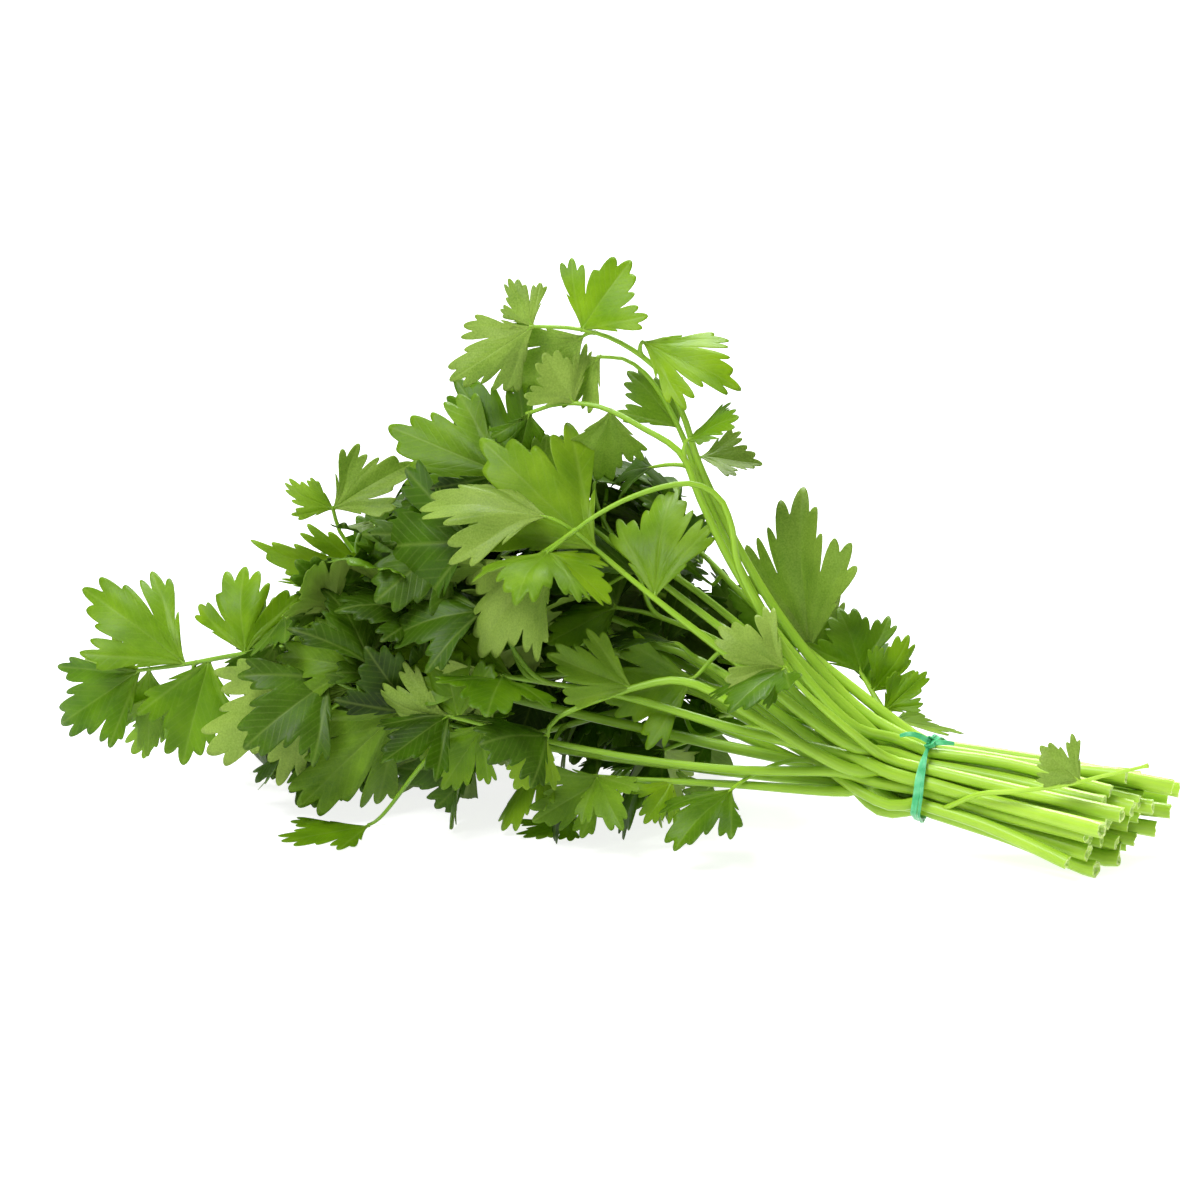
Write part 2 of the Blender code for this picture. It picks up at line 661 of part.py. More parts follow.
def grown_stems():
    rng = np.random.default_rng(SEED)
    routes, at_tie = stem_routes(rng)
    routes = settled(routes, at_tie)
    stems = {name: Stem(name, routes[name], at_tie[name]) for name in routes}
    crowd = Crowd()
    for stem in stems.values():
        crowd.add_rod(stem.name, stem.route, stem.radii)
    grow_resting(stems, crowd)
    grow_shown(stems, crowd, rng)
    grow_hidden(stems, crowd, rng, HIDDEN_LEAFLETS)
    grow_shoot(stems, crowd)
    return stems


def material(name, hex_colour, roughness):
    made = bpy.data.materials.new(name)
    made.use_nodes = True
    shader = made.node_tree.nodes["Principled BSDF"]
    parts = [int(hex_colour[k : k + 2], 16) / 255 for k in (1, 3, 5)]
    linear = [p / 12.92 if p <= 0.04045 else ((p + 0.055) / 1.055) ** 2.4 for p in parts]
    shader.inputs["Base Color"].default_value = (*linear, 1)
    shader.inputs["Roughness"].default_value = roughness
    made.diffuse_color = (*linear, 1)
    return made


def clear_scene():
    for each in list(bpy.context.scene.objects):
        bpy.data.objects.remove(each, do_unlink=True)


def new_collection(name):
    made = bpy.data.collections.new(name)
    bpy.context.scene.collection.children.link(made)
    return made


def curve_object(name, points, radii, resolution, collection, cyclic=False):
    """A tube along the points: a poly curve with a bevel, thinner where its radius is."""
    curve = bpy.data.curves.new(name, "CURVE")
    curve.dimensions = "3D"
    curve.bevel_depth = MM
    curve.bevel_resolution = resolution
    curve.use_fill_caps = not cyclic
    spline = curve.splines.new("POLY")
    spline.points.add(len(points) - 1)
    spline.use_cyclic_u = cyclic
    for target, point, radius in zip(spline.points, points, radii):
        target.co = (*(np.asarray(point) * MM), 1)
        target.radius = radius
    made = bpy.data.objects.new(name, curve)
    collection.objects.link(made)
    return made


def meshed(curve_made, collection):
    """The same tube as a closed mesh, its caps welded to its sides."""
    graph = bpy.context.evaluated_depsgraph_get()
    mesh = bpy.data.meshes.new_from_object(curve_made.evaluated_get(graph))
    editing = bmesh.new()
    editing.from_mesh(mesh)
    bmesh.ops.remove_doubles(editing, verts=editing.verts, dist=1e-6)
    bmesh.ops.recalc_face_normals(editing, faces=editing.faces)
    editing.to_mesh(mesh)
    editing.free()
    made = bpy.data.objects.new(curve_made.name, mesh)
    collection.objects.link(made)
    bpy.data.objects.remove(curve_made, do_unlink=True)
    return made


def blade_object(name, sheet, collection):
    """A leaflet: its open sheet, with a Solidify for the blade's thickness."""
    mesh = bpy.data.meshes.new(name)
    mesh.from_pydata((sheet.points * MM).tolist(), [], sheet.triangles)
    made = bpy.data.objects.new(name, mesh)
    thick = made.modifiers.new("Blade thickness", "SOLIDIFY")
    thick.thickness = BLADE * MM
    thick.offset = 0
    collection.objects.link(made)
    return made


def without_scraps(mesh):
    """Keeps only the largest connected body, because a union can shed loose scraps."""
    editing = bmesh.new()
    editing.from_mesh(mesh)
    unseen, bodies = set(editing.verts), []
    while unseen:
        stack, body = [unseen.pop()], []
        while stack:
            vertex = stack.pop()
            body.append(vertex)
            for edge in vertex.link_edges:
                other = edge.other_vert(vertex)
                if other in unseen:
                    unseen.remove(other)
                    stack.append(other)
        bodies.append(body)
    bodies.sort(key=len)
    for body in bodies[:-1]:
        bmesh.ops.delete(editing, geom=body, context="VERTS")
    editing.to_mesh(mesh)
    editing.free()


def fused(base, others):
    """Joins the repeats in the collection to the base by one union, and removes them."""
    union = base.modifiers.new("Union", "BOOLEAN")
    union.operation = "UNION"
    union.operand_type = "COLLECTION"
    union.collection = others
    union.solver = "MANIFOLD"
    bpy.context.view_layer.update()
    graph = bpy.context.evaluated_depsgraph_get()
    mesh = bpy.data.meshes.new_from_object(base.evaluated_get(graph))
    without_scraps(mesh)
    base.modifiers.clear()
    base.data = mesh
    for each in list(others.objects):
        bpy.data.objects.remove(each, do_unlink=True)
    bpy.data.collections.remove(others)
    return base


def stem_object(stem, finish, collection):
    """The stalk, its branches and its leaflets as one solid."""
    repeats = new_collection("Repeats of " + stem.name)
    kept = kept_points(stem.route, stem.at_tie)
    sides = 0 if stem.name in HIDDEN else 1
    tubes = [curve_object("stem_" + stem.name, stem.route[kept], stem.radii[kept], sides, repeats)]
    for k, points in enumerate(stem.branches):
        few = simplified(points, BRANCH_STRAIGHT)
        tubes.append(
            curve_object(f"branch_{k}", points[few], [BRANCH_RADIUS] * len(few), 0, repeats)
        )
    bpy.context.view_layer.update()
    made = [meshed(tube, repeats) for tube in tubes]
    for k, sheet in enumerate(stem.sheets):
        blade_object(f"leaflet_{k}", sheet, repeats)
    stalk = made[0]
    stalk.name = "stem_" + stem.name
    repeats.objects.unlink(stalk)
    collection.objects.link(stalk)
    fused(stalk, repeats)
    stalk.data.materials.clear()
    stalk.data.materials.append(finish)
    stalk.data.shade_flat()
    return stalk


def band_point(stems, angle, clear):
    """Where the tie passes on this side: that far from the outermost stem there."""
    way = np.array([math.cos(angle), math.sin(angle)])
    near_tie = [stem.route[stem.at_tie - 1 : stem.at_tie + 2] for stem in stems.values()]
    across = (np.vstack(near_tie) - TIE_CENTRE) @ np.column_stack([SIDEWAYS, UPWARDS])
    place = across[(across @ way).argmax()] + clear * way
    return TIE_CENTRE + place[0] * SIDEWAYS + place[1] * UPWARDS


def tie_object(stems, finish, collection):
    """The thin band round the stems, with its knot and two short tails, as one solid."""
    repeats = new_collection("Pieces of the tie")
    clear = STEM_RADIUS + BAND_RADIUS + GAP
    angles = np.arange(BAND_TURN_STEPS) * 2 * math.pi / BAND_TURN_STEPS
    ring = [band_point(stems, angle, clear) for angle in angles]
    out = math.cos(KNOT_AROUND) * SIDEWAYS + math.sin(KNOT_AROUND) * UPWARDS
    knot = band_point(stems, KNOT_AROUND, clear + 0.5)
    tails = (
        [knot - 1.5 * AXIS, knot - 4 * AXIS + 1.2 * out, knot - 8 * AXIS + 2.6 * out],
        [knot + 1.5 * AXIS, knot + 4 * AXIS + 1.0 * out, knot + 6.5 * AXIS + 1.4 * out],
    )
    band = curve_object("tie", ring, [BAND_RADIUS] * len(ring), 0, repeats, cyclic=True)
    pieces = [band]
    for tail in tails:
        pieces.append(curve_object("tail", [knot] + tail, [TAIL_RADIUS] * 4, 0, repeats))
    bpy.context.view_layer.update()
    made = [meshed(piece, repeats) for piece in pieces]
    bump = bpy.data.meshes.new("knot")
    editing = bmesh.new()
    bmesh.ops.create_uvsphere(editing, u_segments=8, v_segments=5, radius=KNOT_RADIUS * MM)
    bmesh.ops.translate(editing, verts=editing.verts, vec=(knot * MM).tolist())
    editing.to_mesh(bump)
    editing.free()
    repeats.objects.link(bpy.data.objects.new("knot", bump))
    tie = made[0]
    tie.name = "tie"
    repeats.objects.unlink(tie)
    collection.objects.link(tie)
    fused(tie, repeats)
    tie.data.materials.clear()
    tie.data.materials.append(finish)
    return tie


def centre_on_surface(objects):
    """Moves every solid so that the origin is at the middle of the foot of the whole box."""
    corners = np.vstack([np.array([vertex.co for vertex in each.data.vertices]) for each in objects])
    low, high = corners.min(axis=0), corners.max(axis=0)
    middle = ((low + high) / 2)[:2]
    for each in objects:
        for vertex in each.data.vertices:
            vertex.co = (vertex.co[0] - middle[0], vertex.co[1] - middle[1], vertex.co[2] - low[2])


def main():
    clear_scene()
    bunch = new_collection("Parsley bunch")
    leaf_green = material("Fresh parsley leaf", "#6f9f2c", 0.45)
    twine_green = material("Green tie", "#4fb56f", 0.4)
    stems = grown_stems()
    objects = [stem_object(stem, leaf_green, bunch) for stem in stems.values()]
    objects.append(tie_object(stems, twine_green, bunch))
    centre_on_surface(objects)


main()
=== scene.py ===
"""The looks of a tied bunch of flat-leaf parsley, lying on its side on a pale surface.

The bunch is laid out as the CAD model lays it out: the same stems, branches and leaflets from
the same named values. Over that layout each stem gets ribbed stalks, veined and toothed leaflets
and the further leaflets that make the head dense, and the tie gets its ridged strands.

The layout's lengths are in millimetres, and become metres where a mesh is made.
"""

import math
from collections import namedtuple

import bpy
import numpy as np
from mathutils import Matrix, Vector
from mathutils.bvhtree import BVHTree


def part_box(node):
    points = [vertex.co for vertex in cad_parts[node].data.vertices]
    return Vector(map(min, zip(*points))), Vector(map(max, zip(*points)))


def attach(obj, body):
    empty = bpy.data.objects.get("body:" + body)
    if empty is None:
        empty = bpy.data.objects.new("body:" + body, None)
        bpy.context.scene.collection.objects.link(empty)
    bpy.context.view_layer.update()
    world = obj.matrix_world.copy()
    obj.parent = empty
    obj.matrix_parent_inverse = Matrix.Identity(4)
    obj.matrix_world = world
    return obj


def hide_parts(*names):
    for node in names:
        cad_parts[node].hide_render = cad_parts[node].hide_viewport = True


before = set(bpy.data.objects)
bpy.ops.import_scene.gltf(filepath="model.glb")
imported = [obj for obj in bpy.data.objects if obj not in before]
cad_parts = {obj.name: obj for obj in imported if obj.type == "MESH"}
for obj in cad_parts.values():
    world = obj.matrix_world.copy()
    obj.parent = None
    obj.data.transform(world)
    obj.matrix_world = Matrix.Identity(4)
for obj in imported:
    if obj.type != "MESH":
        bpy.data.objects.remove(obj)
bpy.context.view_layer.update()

MM = 0.001

# The bunch as it lies: seen from slightly above, its cut ends turned a little to the front
VIEW_TILT = math.radians(16)
YAW = math.radians(17)
PITCH = math.radians(8.5)
TIE_HEIGHT = 23.0
TIE_ACROSS = 2.0
CUT_LENGTH = 63.0
CUT_LENGTH_MORE = (-9, 4)
CUT_LENGTH_BY_PLACE = (0.4, 0.35)
CUT_BEND = 2.4

# Stems as the CAD model has them
STEM_COUNT = 32
STEM_RADIUS = 1.45
CUT_RADIUS = 1.8
TIP_RADIUS = 0.75
BRANCH_RADIUS = 0.65
SLOT_PITCH = 3.85
BUNDLE_FLATNESS = 1.25
CUT_SPREAD = (2.0, 1.45)
OUTERMOST = 11.5
OUTERMOST_SLOPE = 0.8
POINT_SPACING = 4.0
BRANCH_SPACING = 2.0
SETTLE_ROUNDS = 240
GAP = 1.1
BRANCH_BACK = 0.7
BARE_POINTS = 6

# Leaflets as the CAD model has them
BLADE = 0.7
NECK = 2.2
NECK_HALF_WIDTH = 0.42
NECK_OUT = 2.6
NECK_CLEAR = 3.6
ROOM = 0.95
ROOT_FREE = 6.0
FAR_APART = 110
LOWEST = 0.45
HIDDEN_LEAFLETS = 5
HIDDEN_LENGTH = (24, 33)
HIDDEN_REACH = (7, 30)
HIDDEN_JOINTS = (0.9, 0.78, 0.66, 0.55)
HEAD_LEFT = -206
TRIES = 50
SHOWN_TRIES = 60
SLIP_PER_TRY = 0.35
ROLL_PER_TRY = 0.6
SEAT = 3.0
SEATED_NECK = 0.3
SEED = 11

# The tie's knot, as the CAD model has it
KNOT_AROUND = math.radians(118)

# The further leaflets, which only the scene has: how thin they are and how close they may come
FINE_BLADE = 0.35
FINE_ROOM = 0.1
FINE_GAP = 0.25
FURTHER_SEED = 23

AXIS = np.array([math.cos(YAW) * math.cos(PITCH), -math.sin(YAW) * math.cos(PITCH),
                 -math.sin(PITCH)])
SIDEWAYS = np.array([math.sin(YAW), math.cos(YAW), 0.0])
UPWARDS = np.cross(AXIS, SIDEWAYS)
TO_VIEWER = np.array([0.0, -math.cos(VIEW_TILT), math.sin(VIEW_TILT)])
TIE_CENTRE = np.array([TIE_ACROSS, 0.0, TIE_HEIGHT])

Leaflet = namedtuple("Leaflet", "base tip width roll")

# One half of a leaflet's edge, from the lowest tooth round to the tip: degrees from the midrib
# and distance from the base as a share of the length, on a leaflet as wide as it is long
TOOTHED = ((61, 0.52), (46, 0.77), (38, 0.62), (31, 0.78), (25, 0.42), (17, 0.84), (9, 0.83))
PLAIN = ((58, 0.54), (41, 0.80), (25, 0.43))

# The same edge in full, as the scene draws it: each rounded tooth and each cleft between two,
# as degrees from the midrib and share of the length, from the tip to the lowest tooth
TEETH = ((0.0, 1.0), (11.5, 0.93), (21.0, 0.80), (32.5, 0.80), (42.0, 0.88), (51.5, 0.80),
         (60.5, 0.56))
CLEFTS = ((5.8, 0.86), (16.3, 0.74), (26.2, 0.42), (37.3, 0.73), (46.8, 0.73), (56.3, 0.46))
# The edge goes on from the lowest tooth to the root; one cleft is deep and parts two lobes
WEDGE = ((64.0, 0.47), (66.0, 0.34), (67.5, 0.15))
DEEP_CLEFT = 2
DEEP_CLEFT_SHARE = (0.36, 0.6)

# The stems that the front view shows one by one. Each route is across, up and behind the
# bunch's middle, from the tie; each leaflet has its base, its tip, its width and its roll
SHOWN = {
    "arch_tall": (
        [(-21, 22, 4), (-39, 43, 6), (-54, 67, 6), (-66, 92, 5), (-71, 107, 4),
         (-78, 120, 2), (-90, 129, 0), (-102, 133, -2), (-117, 134, -4)],
        [Leaflet((-101, 134, -2), (-90, 151, 0), 22, 10),
         Leaflet((-83, 129, 0), (-56, 116, -4), 20, 20),
         Leaflet((-117, 134, -4), (-124, 147, -2), 12, 20),
         Leaflet((-118, 134, -4), (-139, 119, -8), 18, 0),
         Leaflet((-101, 131, 0), (-123, 116, 4), 20, -10)],
    ),
    "arch_inner": (
        [(-22, 20, 8), (-42, 42, 10), (-56, 66, 11), (-66, 88, 11), (-72, 103, 10),
         (-80, 117, 8), (-88, 124, 6), (-97, 125, 5)],
        [Leaflet((-97, 125, 5), (-110, 112, 2), 15, 0),
         Leaflet((-74, 103, 9), (-87, 120, 14), 17, -20),
         Leaflet((-66, 95, 10), (-49, 96, 6), 14, 55)],
    ),
    "arch_low": (
        [(-20, 18, -2), (-40, 38, -4), (-56, 62, -6), (-66, 82, -6), (-72, 96, -6),
         (-84, 104, -5), (-96, 110, -4), (-108, 111, -3), (-118, 108, -3)],
        [Leaflet((-118, 108, -3), (-121, 94, -6), 14, 20),
         Leaflet((-104, 111, -3), (-112, 124, 4), 17, 0),
         Leaflet((-70, 100, -6), (-55, 105, -9), 15, 60),
         Leaflet((-92, 107, -3), (-96, 86, 2), 18, 10)],
    ),
    "bent_over": (
        [(-22, 16, -12), (-40, 36, -14), (-54, 60, -15), (-57, 74, -15), (-61, 83, -15),
         (-70, 87, -17), (-84, 84, -22), (-98, 77, -28), (-112, 66, -32)],
        [Leaflet((-112, 66, -32), (-93, 57, -36), 15, 45),
         Leaflet((-113, 64, -32), (-133, 37, -37), 27, -15)],
    ),
    "upright": (
        [(-18, 14, 14), (-30, 30, 20), (-33, 38, 22)],
        [Leaflet((-33, 38, 22), (-37, 83, 27), 26, 25),
         Leaflet((-30, 34, 22), (-26, 58, 33), 18, -10)],
    ),
    "right_back": (
        [(-8, 14, 16), (-14, 24, 22), (-18, 31, 25)],
        [Leaflet((-18, 31, 25), (-23, 49, 30), 20, 10),
         Leaflet((-14, 24, 23), (-3, 40, 28), 14, -20),
         Leaflet((-8, 15, 18), (13, 16, 16), 13, 50)],
    ),
    "crest_left": (
        [(-24, 12, -6), (-50, 36, -8), (-78, 58, -8), (-104, 78, -8), (-124, 90, -8)],
        [Leaflet((-124, 90, -8), (-158, 104, -12), 27, 0),
         Leaflet((-118, 87, -6), (-138, 117, 2), 24, 10)],
    ),
    "crest_middle": (
        [(-24, 10, -16), (-50, 30, -18), (-76, 50, -20), (-98, 68, -21)],
        [Leaflet((-98, 68, -21), (-130, 99, -20), 31, 0),
         Leaflet((-112, 77, -31), (-147, 84, -37), 24, -40),
         Leaflet((-80, 53, -19), (-77, 88, -10), 22, 10)],
    ),
    "left_top": (
        [(-26, 8, 6), (-60, 24, 10), (-100, 42, 12), (-140, 54, 10), (-164, 62, 6),
         (-174, 72, 4), (-177, 81, 4)],
        [Leaflet((-177, 81, 4), (-157, 94, 8), 17, 15),
         Leaflet((-177, 81, 4), (-191, 86, 0), 12, 35),
         Leaflet((-160, 60, 6), (-166, 80, 12), 20, 0),
         Leaflet((-164, 62, 6), (-197, 63, -2), 22, 20)],
    ),
    "left_far": (
        [(-26, 2, -2), (-64, 10, -6), (-110, 20, -10), (-150, 30, -12), (-185, 38, -12),
         (-205, 36, -12), (-222, 33, -12), (-237, 31, -12)],
        [Leaflet((-222, 33, -12), (-252, 56, -8), 25, 0),
         Leaflet((-205, 36, -12), (-206, 61, -6), 25, 15),
         Leaflet((-237, 31, -12), (-262, 14, -17), 22, 0),
         Leaflet((-214, 34, -12), (-224, 4, -17), 24, -10)],
    ),
    "left_low": (
        [(-26, -2, -8), (-64, 2, -14), (-110, 8, -20), (-150, 18, -24), (-178, 29, -26)],
        [Leaflet((-178, 29, -26), (-214, 8, -32), 26, -20),
         Leaflet((-170, 26, -25), (-192, 44, -20), 22, 10),
         Leaflet((-158, 20, -25), (-185, -9, -37), 27, 10)],
    ),
    "wavy": (
        [(-24, 4, -18), (-50, 18, -22), (-69, 28, -24), (-84, 27, -27), (-108, 18, -34),
         (-112, 11, -38)],
        [Leaflet((-112, 11, -38), (-121, -3, -42), 15, 0),
         Leaflet((-87, 29, -28), (-110, 36, -35), 17, -4)],
    ),
    "pale_side": (
        [(-26, 6, -14), (-56, 14, -18), (-90, 24, -22), (-126, 30, -28)],
        [Leaflet((-126, 30, -28), (-145, 19, -34), 18, 10),
         Leaflet((-122, 29, -27), (-158, 42, -26), 22, 0)],
    ),
    "curled_side": (
        [(-26, 0, -12), (-60, 2, -22), (-100, 8, -28), (-142, 18, -34)],
        [Leaflet((-142, 18, -34), (-163, 20, -38), 15, 40),
         Leaflet((-130, 14, -32), (-144, -4, -36), 17, 0)],
    ),
    "under_front": (
        [(-26, -3, -12), (-56, -2, -19), (-84, -1, -25), (-98, 0, -27)],
        [Leaflet((-98, 0, -27), (-91, -13, -30), 15, 0),
         Leaflet((-62, -2, -20), (-70, -11, -24), 16, 0)],
    ),
    "near_fan": (
        [(-20, 12, -18), (-34, 24, -22), (-42, 33, -24)],
        [Leaflet((-42, 33, -24), (-60, 43, -28), 18, 10),
         Leaflet((-42, 33, -24), (-54, 22, -27), 9, 0)],
    ),
}

# Leaflets that lie flat on the surface and carry the head: x and y of the base and the tip,
# the width, and the stem that each grows on
RESTING = (
    ((-166, 22), (-190, 8), 25, "left_low"),
    ((-104, 26), (-118, 12), 18, "under_front"),
    ((-128, 92), (-150, 112), 27, "back_low"),
    ((-70, 74), (-88, 92), 24, "back_near"),
)

# Stems that end behind the front ones: the route's last point, as x, y and z
HIDDEN = {
    "back_low": (-126, 84, 16),
    "back_near": (-72, 64, 18),
    "back_high": (-104, 74, 66),
    "back_left": (-168, 100, 34),
    "back_crest": (-78, 52, 86),
    "middle_high": (-120, 52, 92),
    "middle_left": (-160, 62, 58),
    "middle_far": (-182, 74, 36),
    "middle_core": (-116, 32, 56),
    "middle_deep": (-142, 50, 34),
    "middle_near": (-92, 26, 68),
    "low_core": (-134, 36, 18),
    "low_back": (-152, 84, 18),
    "low_near": (-78, 22, 24),
    "fan_back": (-60, 44, 46),
    "fan_high": (-84, 50, 66),
}

# Smaller leaflets between the shown ones, which only the scene has
BETWEEN = {
    "left_far": [
        Leaflet((-238, 32, -12), (-257, 33, -8), 13, 10),
        Leaflet((-232, 30, -12), (-234, 7, -6), 14, -10),
        Leaflet((-198, 36, -12), (-188, 55, 0), 16, 10),
        Leaflet((-220, 30, -12), (-240, 2, -2), 16, 15),
    ],
    "left_low": [
        Leaflet((-172, 27, -26), (-199, 28, -18), 18, 0),
        Leaflet((-160, 20, -25), (-164, -8, -32), 17, 10),
    ],
    "right_back": [
        Leaflet((-12, 20, 20), (1, 30, 22), 10, 0),
        Leaflet((-15, 25, 23), (-12, 42, 26), 11, 30),
    ],
    "under_front": [
        Leaflet((-96, -1, -27), (-115, -13, -28), 18, 20),
        Leaflet((-74, -2, -23), (-82, -13, -22), 12, 0),
    ],
    "crest_left": [Leaflet((-112, 84, -8), (-112, 101, -2), 17, -10)],
    "arch_low": [Leaflet((-112, 110, -3), (-128, 101, 4), 15, 10)],
}

# A thin side shoot with one small leaflet, which lies across the front of the cut stems
SHOOT_STEM = "low_near"
SHOOT_PATH = ((16, -5, -16), (26, -4, -18), (40, -2, -21), (52, 1, -23), (64, 4, -24))
SHOOT_LEAFLET = Leaflet((46, -1, -22), (34, 9, -20), 13, 15)
SHOOT_FROM_TIE = 2
SHOOT_STEPS = 24
SHOOT_STEP = 0.5

# The most that a leaflet of a hidden stem may rise, as x and height
HEAD_TOP = (
    (-215, 52), (-190, 64), (-165, 88), (-140, 100), (-118, 104), (-96, 96),
    (-78, 84), (-62, 66), (-44, 48), (-24, 36),
)


def unit(vector):
    return vector / np.linalg.norm(vector)


def seen_at(across, up, behind):
    """The point that the front view shows there, at that depth behind the bunch's middle."""
    back = behind - across * math.tan(YAW)
    height = (up - back * math.sin(VIEW_TILT)) / math.cos(VIEW_TILT)
    return np.array([across, back, TIE_HEIGHT + height])


def tie_slots():
    """Where each stem passes the tie: close-packed places in six rows, wider than high."""
    places = []
    for row in range(-5, 6):
        for column in range(-5, 6):
            sideways = (column + 0.5 * (row % 2) + 0.2) * SLOT_PITCH
            upwards = (row + 0.5) * math.sqrt(0.75) * SLOT_PITCH
            places.append((math.hypot(sideways / BUNDLE_FLATNESS, upwards), sideways, upwards))
    return [(place[1], place[2]) for place in sorted(places)[:STEM_COUNT]]


def smooth_through(points, spacing):
    """Evenly spaced points on a Catmull-Rom curve through the given ones."""
    points = np.asarray(points, float)
    padded = np.vstack([2 * points[0] - points[1], points, 2 * points[-1] - points[-2]])
    dense = []
    for a, b, c, d in zip(padded, padded[1:], padded[2:], padded[3:]):
        for t in np.linspace(0, 1, 12, endpoint=False):
            dense.append(
                0.5 * (2 * b + (c - a) * t + (2 * a - 5 * b + 4 * c - d) * t**2
                       + (3 * b - a - 3 * c + d) * t**3)
            )
    dense = np.vstack(dense + [points[-1]])
    along = np.concatenate([[0], np.cumsum(np.linalg.norm(np.diff(dense, axis=0), axis=1))])
    wanted = np.linspace(0, along[-1], max(4, round(along[-1] / spacing)) + 1)
    return np.column_stack([np.interp(wanted, along, dense[:, k]) for k in range(3)])


def head_routes():
    """Each stem's route to the left of the tie, as world points, by name."""
    routes = {name: [seen_at(*point) for point in shown[0]] for name, shown in SHOWN.items()}
    for name, end in HIDDEN.items():
        end = np.array(end, float)
        start = TIE_CENTRE - 24 * AXIS
        span = end - start
        rise = np.array([0, 0, 0.12 * np.linalg.norm(span)])
        routes[name] = [start + 0.45 * span + rise, start + 0.8 * span + 0.6 * rise, end]
    return routes


def slot_for_each(routes, slots):
    """Gives each stem the free slot that lies most nearly the way it leaves."""
    leaving = {}
    for name, route in routes.items():
        from_tie = route[1] - TIE_CENTRE
        slope = np.array([from_tie @ SIDEWAYS, from_tie @ UPWARDS]) / -(from_tie @ AXIS)
        leaving[name] = slope * OUTERMOST / max(OUTERMOST_SLOPE, np.linalg.norm(slope))
    free = list(slots)
    chosen = {}
    for name in sorted(leaving, key=lambda each: -np.linalg.norm(leaving[each])):
        place = min(free, key=lambda slot: math.dist(slot, leaving[name]))
        free.remove(place)
        chosen[name] = place
    return chosen


def stem_routes(rng):
    """Whole routes, cut end first, and the index of the point that each has at the tie."""
    heads = head_routes()
    slots = slot_for_each(heads, tie_slots())
    bends = np.random.default_rng(SEED + 1)
    routes, at_tie = {}, {}
    for name, head in heads.items():
        sideways, upwards = slots[name]
        offset = sideways * SIDEWAYS + upwards * UPWARDS
        slot = TIE_CENTRE + offset
        by_place = np.dot(CUT_LENGTH_BY_PLACE, (sideways, upwards))
        length = CUT_LENGTH + rng.uniform(*CUT_LENGTH_MORE) + by_place
        aside, over = bends.uniform(-1, 1, 2) * CUT_BEND
        bend = aside * SIDEWAYS + over * UPWARDS
        spread = CUT_SPREAD[0] * sideways * SIDEWAYS + CUT_SPREAD[1] * upwards * UPWARDS
        cut = TIE_CENTRE + length * AXIS + spread + bend
        middle = TIE_CENTRE + 0.45 * length * AXIS + 1.25 * offset - 0.3 * bend
        leave = slot - 11 * AXIS + 0.25 * offset
        right = smooth_through([cut, middle, slot], POINT_SPACING)
        left = smooth_through([slot, leave] + head, POINT_SPACING)
        routes[name] = np.vstack([right, left[1:]])
        at_tie[name] = len(right) - 1
    return routes, at_tie


def radii_along(route, tie_index):
    """Thickest where the stem is cut, with an even taper from the tie to the tip."""
    along = np.arange(len(route)) - tie_index
    head = np.clip(along / (len(route) - 1 - tie_index), 0, 1)
    cut = np.clip(-along / tie_index, 0, 1)
    return STEM_RADIUS + (TIP_RADIUS - STEM_RADIUS) * head + (CUT_RADIUS - STEM_RADIUS) * cut


def settled(routes, at_tie):
    """Pushes the stems apart until each has its gap to the others and lies above the surface."""
    names = list(routes)
    start = np.vstack([routes[name] for name in names])
    owner = np.concatenate([np.full(len(routes[name]), k) for k, name in enumerate(names)])
    radius = np.concatenate([radii_along(routes[name], at_tie[name]) for name in names])
    pinned = np.zeros(len(start), bool)
    first = 0
    for name in names:
        pinned[first + at_tie[name]] = True
        first += len(routes[name])
    reach = radius[:, None] + radius[None, :] + GAP
    reach = np.hypot(reach, 0.5 * GAP)
    apart = owner[:, None] < owner[None, :]
    same_before = np.concatenate([[False], owner[1:] == owner[:-1]])
    same_after = np.concatenate([owner[1:] == owner[:-1], [False]])
    shift = np.zeros_like(start)
    for done in range(SETTLE_ROUNDS):
        now = start + shift
        square = (now**2).sum(axis=1)
        near = square[:, None] + square[None, :] - 2 * now @ now.T
        one, other = np.nonzero((near < reach**2) & apart)
        between = now[one] - now[other]
        distance = np.maximum(np.linalg.norm(between, axis=1), 1e-3)
        push = (0.5 * (reach[one, other] - distance) / distance)[:, None] * between
        np.add.at(shift, one, push)
        np.add.at(shift, other, -push)
        before = np.where(same_before[:, None], np.roll(shift, 1, axis=0), shift)
        after = np.where(same_after[:, None], np.roll(shift, -1, axis=0), shift)
        spread = 0.22 * (1 - done / SETTLE_ROUNDS) + 0.01
        shift = (1 - 2 * spread) * shift + spread * (before + after)
        shift[pinned] = 0
        lowest = radius - (start + shift)[:, 2]
        shift[:, 2] += np.maximum(lowest, 0)
    now = start + shift
    return {name: now[owner == k] for k, name in enumerate(names)}


